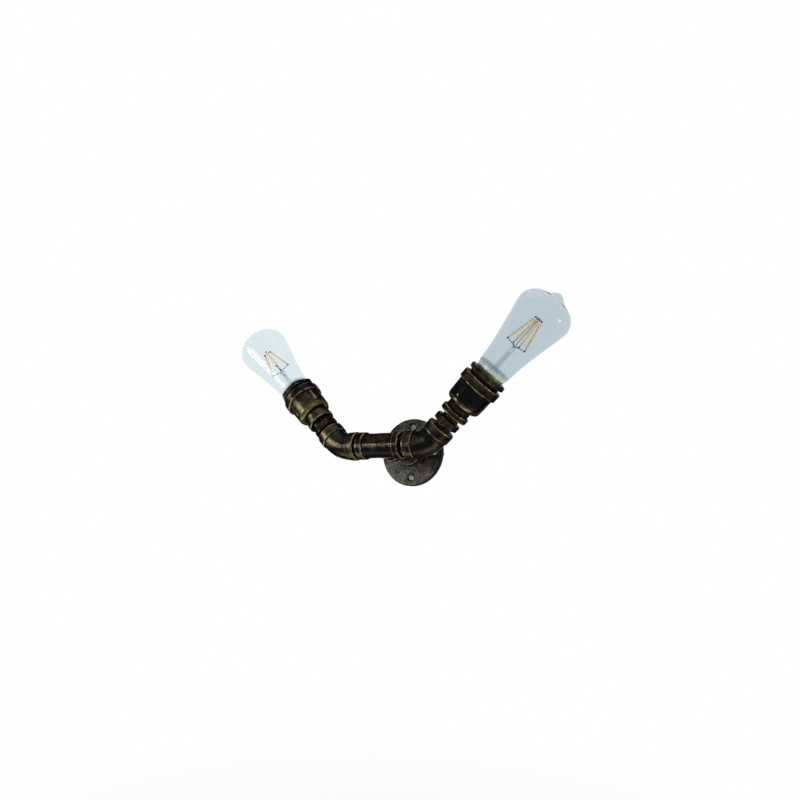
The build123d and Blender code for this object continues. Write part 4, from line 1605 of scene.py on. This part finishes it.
    def build_filaments(self) -> None:
        """Make the four filament sticks: round bars with domed ends between their crimps."""
        surfaces = []
        first = math.radians(self.filament_turns[self.side is Side.RIGHT])
        share = np.linspace(0, 1, 24)
        for angle in first + even_angles(self.filament_count):
            lower = self.axis.place(self.lower_ring_radius, angle, STATIONS.lower_ring)
            upper = self.axis.place(self.upper_ring_radius, angle, STATIONS.upper_ring)
            along = unit(upper - lower)
            length = float(np.linalg.norm(upper - lower)) - self.crimp_length
            start = lower + along * self.crimp_length / 2
            stick = StraightAxis(tuple(start), tuple(along), tuple(unit(np.cross(along, (0, 1, 0)))))
            near = np.minimum(share, 1 - share) * length
            dome = np.sqrt(np.clip(1 - (1 - near / self.filament_end) ** 2, 0, 1))
            ends = np.where(near > self.filament_end, 1, dome)
            outline = np.stack([self.filament_radius * ends, share * length], axis=1)
            surfaces.append(turned_surface(stick, outline, even_angles(20), closed=False))
        self.piece("filament_sticks", "bulb_filaments", surfaces, "filament_phosphor", self.finishes.phosphor,
                   SOFT_SHARP_ANGLE)


# ---------------------------------------------------------------------------------------------------
# Carried-over pieces, stage and camera
# ---------------------------------------------------------------------------------------------------
def dress_kept_nodes(finishes: Finishes) -> None:
    """Give every node that stays as it is its finish."""
    worn = {
        "lampholder_body": finishes.porcelain,
        "screw_shell": finishes.brass,
        "centre_contact": finishes.brass,
        "terminal_screws": finishes.brass,
        "bulb_insulator": finishes.black_glass,
        "bulb_tip_contact": finishes.solder,
        "bulb_stem": finishes.stem_glass,
        "bulb_support_wires": finishes.wire,
    }
    for side in Side:
        for node, material in worn.items():
            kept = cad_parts[f"{side.word}_{node}"]
            kept.data.materials.clear()
            kept.data.materials.append(material)
            log.info("%s: kept, %s", kept.name, material.name)


@dataclass(frozen=True)
class SoftLamp:
    """A rectangular lamp, with its place and size in metres and its power in watts."""

    name: str
    place: Vector3
    size: Span
    power: float
    colour: Vector3

    def build(self, lit_point: Vector3) -> None:
        """Make the lamp, which faces a point. Glass doesn't show it from behind."""
        data = bpy.data.lights.new(self.name, "AREA")
        data.shape = "RECTANGLE"
        data.size, data.size_y = self.size
        data.energy, data.color = self.power, self.colour
        lamp = put_in_scene(self.name, data)
        lamp.visible_transmission = False
        away = unit(np.array(self.place) - np.array(lit_point))
        across = unit(np.cross((0, 0, 1), away)) if abs(away[2]) < 0.95 else np.array((1.0, 0, 0))
        lamp.matrix_world = placed_matrix(across, np.cross(away, across), away, np.array(self.place))


@dataclass
class Stage:
    """The pale floor, the white surroundings and the soft lamps."""

    floor_drop: float = 700.0
    floor_radius: float = 3500.0
    world_level: float = 0.25
    floor_colour: Vector3 = (0.86, 0.86, 0.86)
    floor_rings: int = 12
    floor_facets: int = 64
    fade_span: Span = (0.10, 0.4)
    fade_from: float = 0.8
    lit_point: Vector3 = (0.0, -0.08, 0.06)
    lamps: tuple[SoftLamp, ...] = (
        SoftLamp("key", (-0.80, -0.94, -0.02), (0.50, 0.45), 12.0, (1.0, 0.97, 0.93)),
        SoftLamp("low", (-0.10, -0.15, -0.56), (1.10, 0.35), 4.5, (1.0, 0.88, 0.68)),
        SoftLamp("right", (1.0, -0.05, -0.10), (0.25, 0.25), 4.0, (1.0, 0.95, 0.86)),
        SoftLamp("fill", (1.0, -0.9, 0.5), (1.0, 1.0), 3.0, (0.95, 0.98, 1.0)),
        SoftLamp("top", (0.0, -0.3, 1.2), (1.0, 1.0), 4.0, (0.9, 0.96, 1.0)),
    )

    def build(self) -> None:
        """Make the world, the floor and the lamps."""
        self.build_world()
        self.build_floor()
        for lamp in self.lamps:
            lamp.build(self.lit_point)

    def build_world(self) -> None:
        """A plain level of light, which camera, mirror and glass rays see as white."""
        world = bpy.data.worlds.new("studio")
        bpy.context.scene.world = world
        world.use_nodes = True
        bench = NodeBench(world.node_tree)
        level = bench.span(bench.seeing_rays(), 0.0, 1.0, self.world_level, 1.0)
        background = bench.node("Background", {"Color": WHITE, "Strength": level})
        bench.node("OutputWorld", {"Surface": background.outputs[0]})

    def build_floor(self) -> None:
        """A pale disc under the light that fades into the white around it.

        Its points are a radius times (cosine, sine) of the angle, at one level. The rays that see a
        background see it whiter the farther out it is.
        """
        ring = np.linspace(0, self.floor_radius, self.floor_rings)[:, None]
        angles = even_angles(self.floor_facets)[None, :]
        level = np.full((self.floor_rings, self.floor_facets), -self.floor_drop)
        points = np.stack([ring * np.cos(angles), ring * np.sin(angles), level], -1) * METRES
        mesh = bpy.data.meshes.new("floor")
        mesh.from_pydata(points.reshape(-1, 3), [], Surface(points, rows_close=False).faces())
        bench = MaterialBench("pale_floor")
        mesh.materials.append(bench.finish(Base_Color=self.floor_colour, Roughness=0.9))
        white = bench.node("Emission", {"Strength": 1.0})
        near, far = (self.floor_radius * METRES * share for share in self.fade_span)
        away = bench.span(bench.length(bench.place), near, far, self.fade_from, 1.0)
        share = bench.times(away, bench.seeing_rays())
        mixed = bench.node("MixShader", {0: share, 1: bench.shader.outputs[0], 2: white.outputs[0]})
        bench.join(mixed.outputs[0], bench.output.inputs["Surface"])
        floor = put_in_scene("floor", mesh)


def placed_matrix(right: np.ndarray, up: np.ndarray, back: np.ndarray, place: np.ndarray) -> Matrix:
    """A placement from three axes and a place in metres."""
    placed = np.eye(4)
    placed[:3] = np.stack([right, up, back, place], axis=1)
    return Matrix(placed.tolist())


@dataclass(frozen=True)
class PhotoCamera:
    """The camera that took the photograph, from a fit of the object's outlines."""

    azimuth: float = 28.962
    elevation: float = -6.061
    roll: float = 1.853
    distance: float = 813.91
    target: Vector3 = (0.0, -6.0, 0.0)
    target_pixel: tuple[float, float] = (411.625, 452.213)
    focal_pixels: float = 642.574
    picture: float = 800.0
    sensor: float = 36.0

    def build(self) -> None:
        """Set the camera so that the target lands on its pixel.

        The camera stands at the distance from the target, back along the azimuth and elevation. It first
        faces the target with its roll, and then turns by the shortest way that carries the picture's
        middle to the target's pixel.
        """
        azimuth, elevation = math.radians(self.azimuth), math.radians(self.elevation)
        level = math.cos(elevation)
        back = np.array((math.sin(azimuth) * level, -math.cos(azimuth) * level, math.sin(elevation)))
        right = unit(np.cross(-back, (0, 0, 1)))
        up = np.cross(right, -back)
        roll = math.radians(self.roll)
        right, up = math.cos(roll) * right + math.sin(roll) * up, math.cos(roll) * up - math.sin(roll) * right
        half = self.picture / 2
        aside = (self.target_pixel[0] - half, half - self.target_pixel[1], self.focal_pixels)
        turn = np.array(Vector((0, 0, 1)).rotation_difference(Vector(aside)).to_matrix())
        right, up, ahead = turn @ np.stack([right, up, -back])
        place = (np.array(self.target) + back * self.distance) * METRES
        data = bpy.data.cameras.new("photo_camera")
        data.sensor_width = self.sensor
        data.lens = self.focal_pixels / self.picture * self.sensor
        data.clip_start, data.clip_end = 0.01, 20.0
        camera = put_in_scene("photo_camera", data)
        camera.matrix_world = placed_matrix(right, up, -ahead, place)
        bpy.context.scene.camera = camera


def main() -> None:
    """Build the light, its stage and its camera."""
    logging.basicConfig(level=logging.INFO, format="%(message)s", force=True)
    bpy.context.scene.view_settings.view_transform = "Standard"
    PhotoCamera().build()
    Stage().build()
    finishes = Finishes()
    WallMount(finishes).build()
    Run(finishes).build()
    for side in Side:
        Arm(side, finishes).build()
        Lamp(side, finishes).build()
    dress_kept_nodes(finishes)


if __name__ == "__main__":
    main()
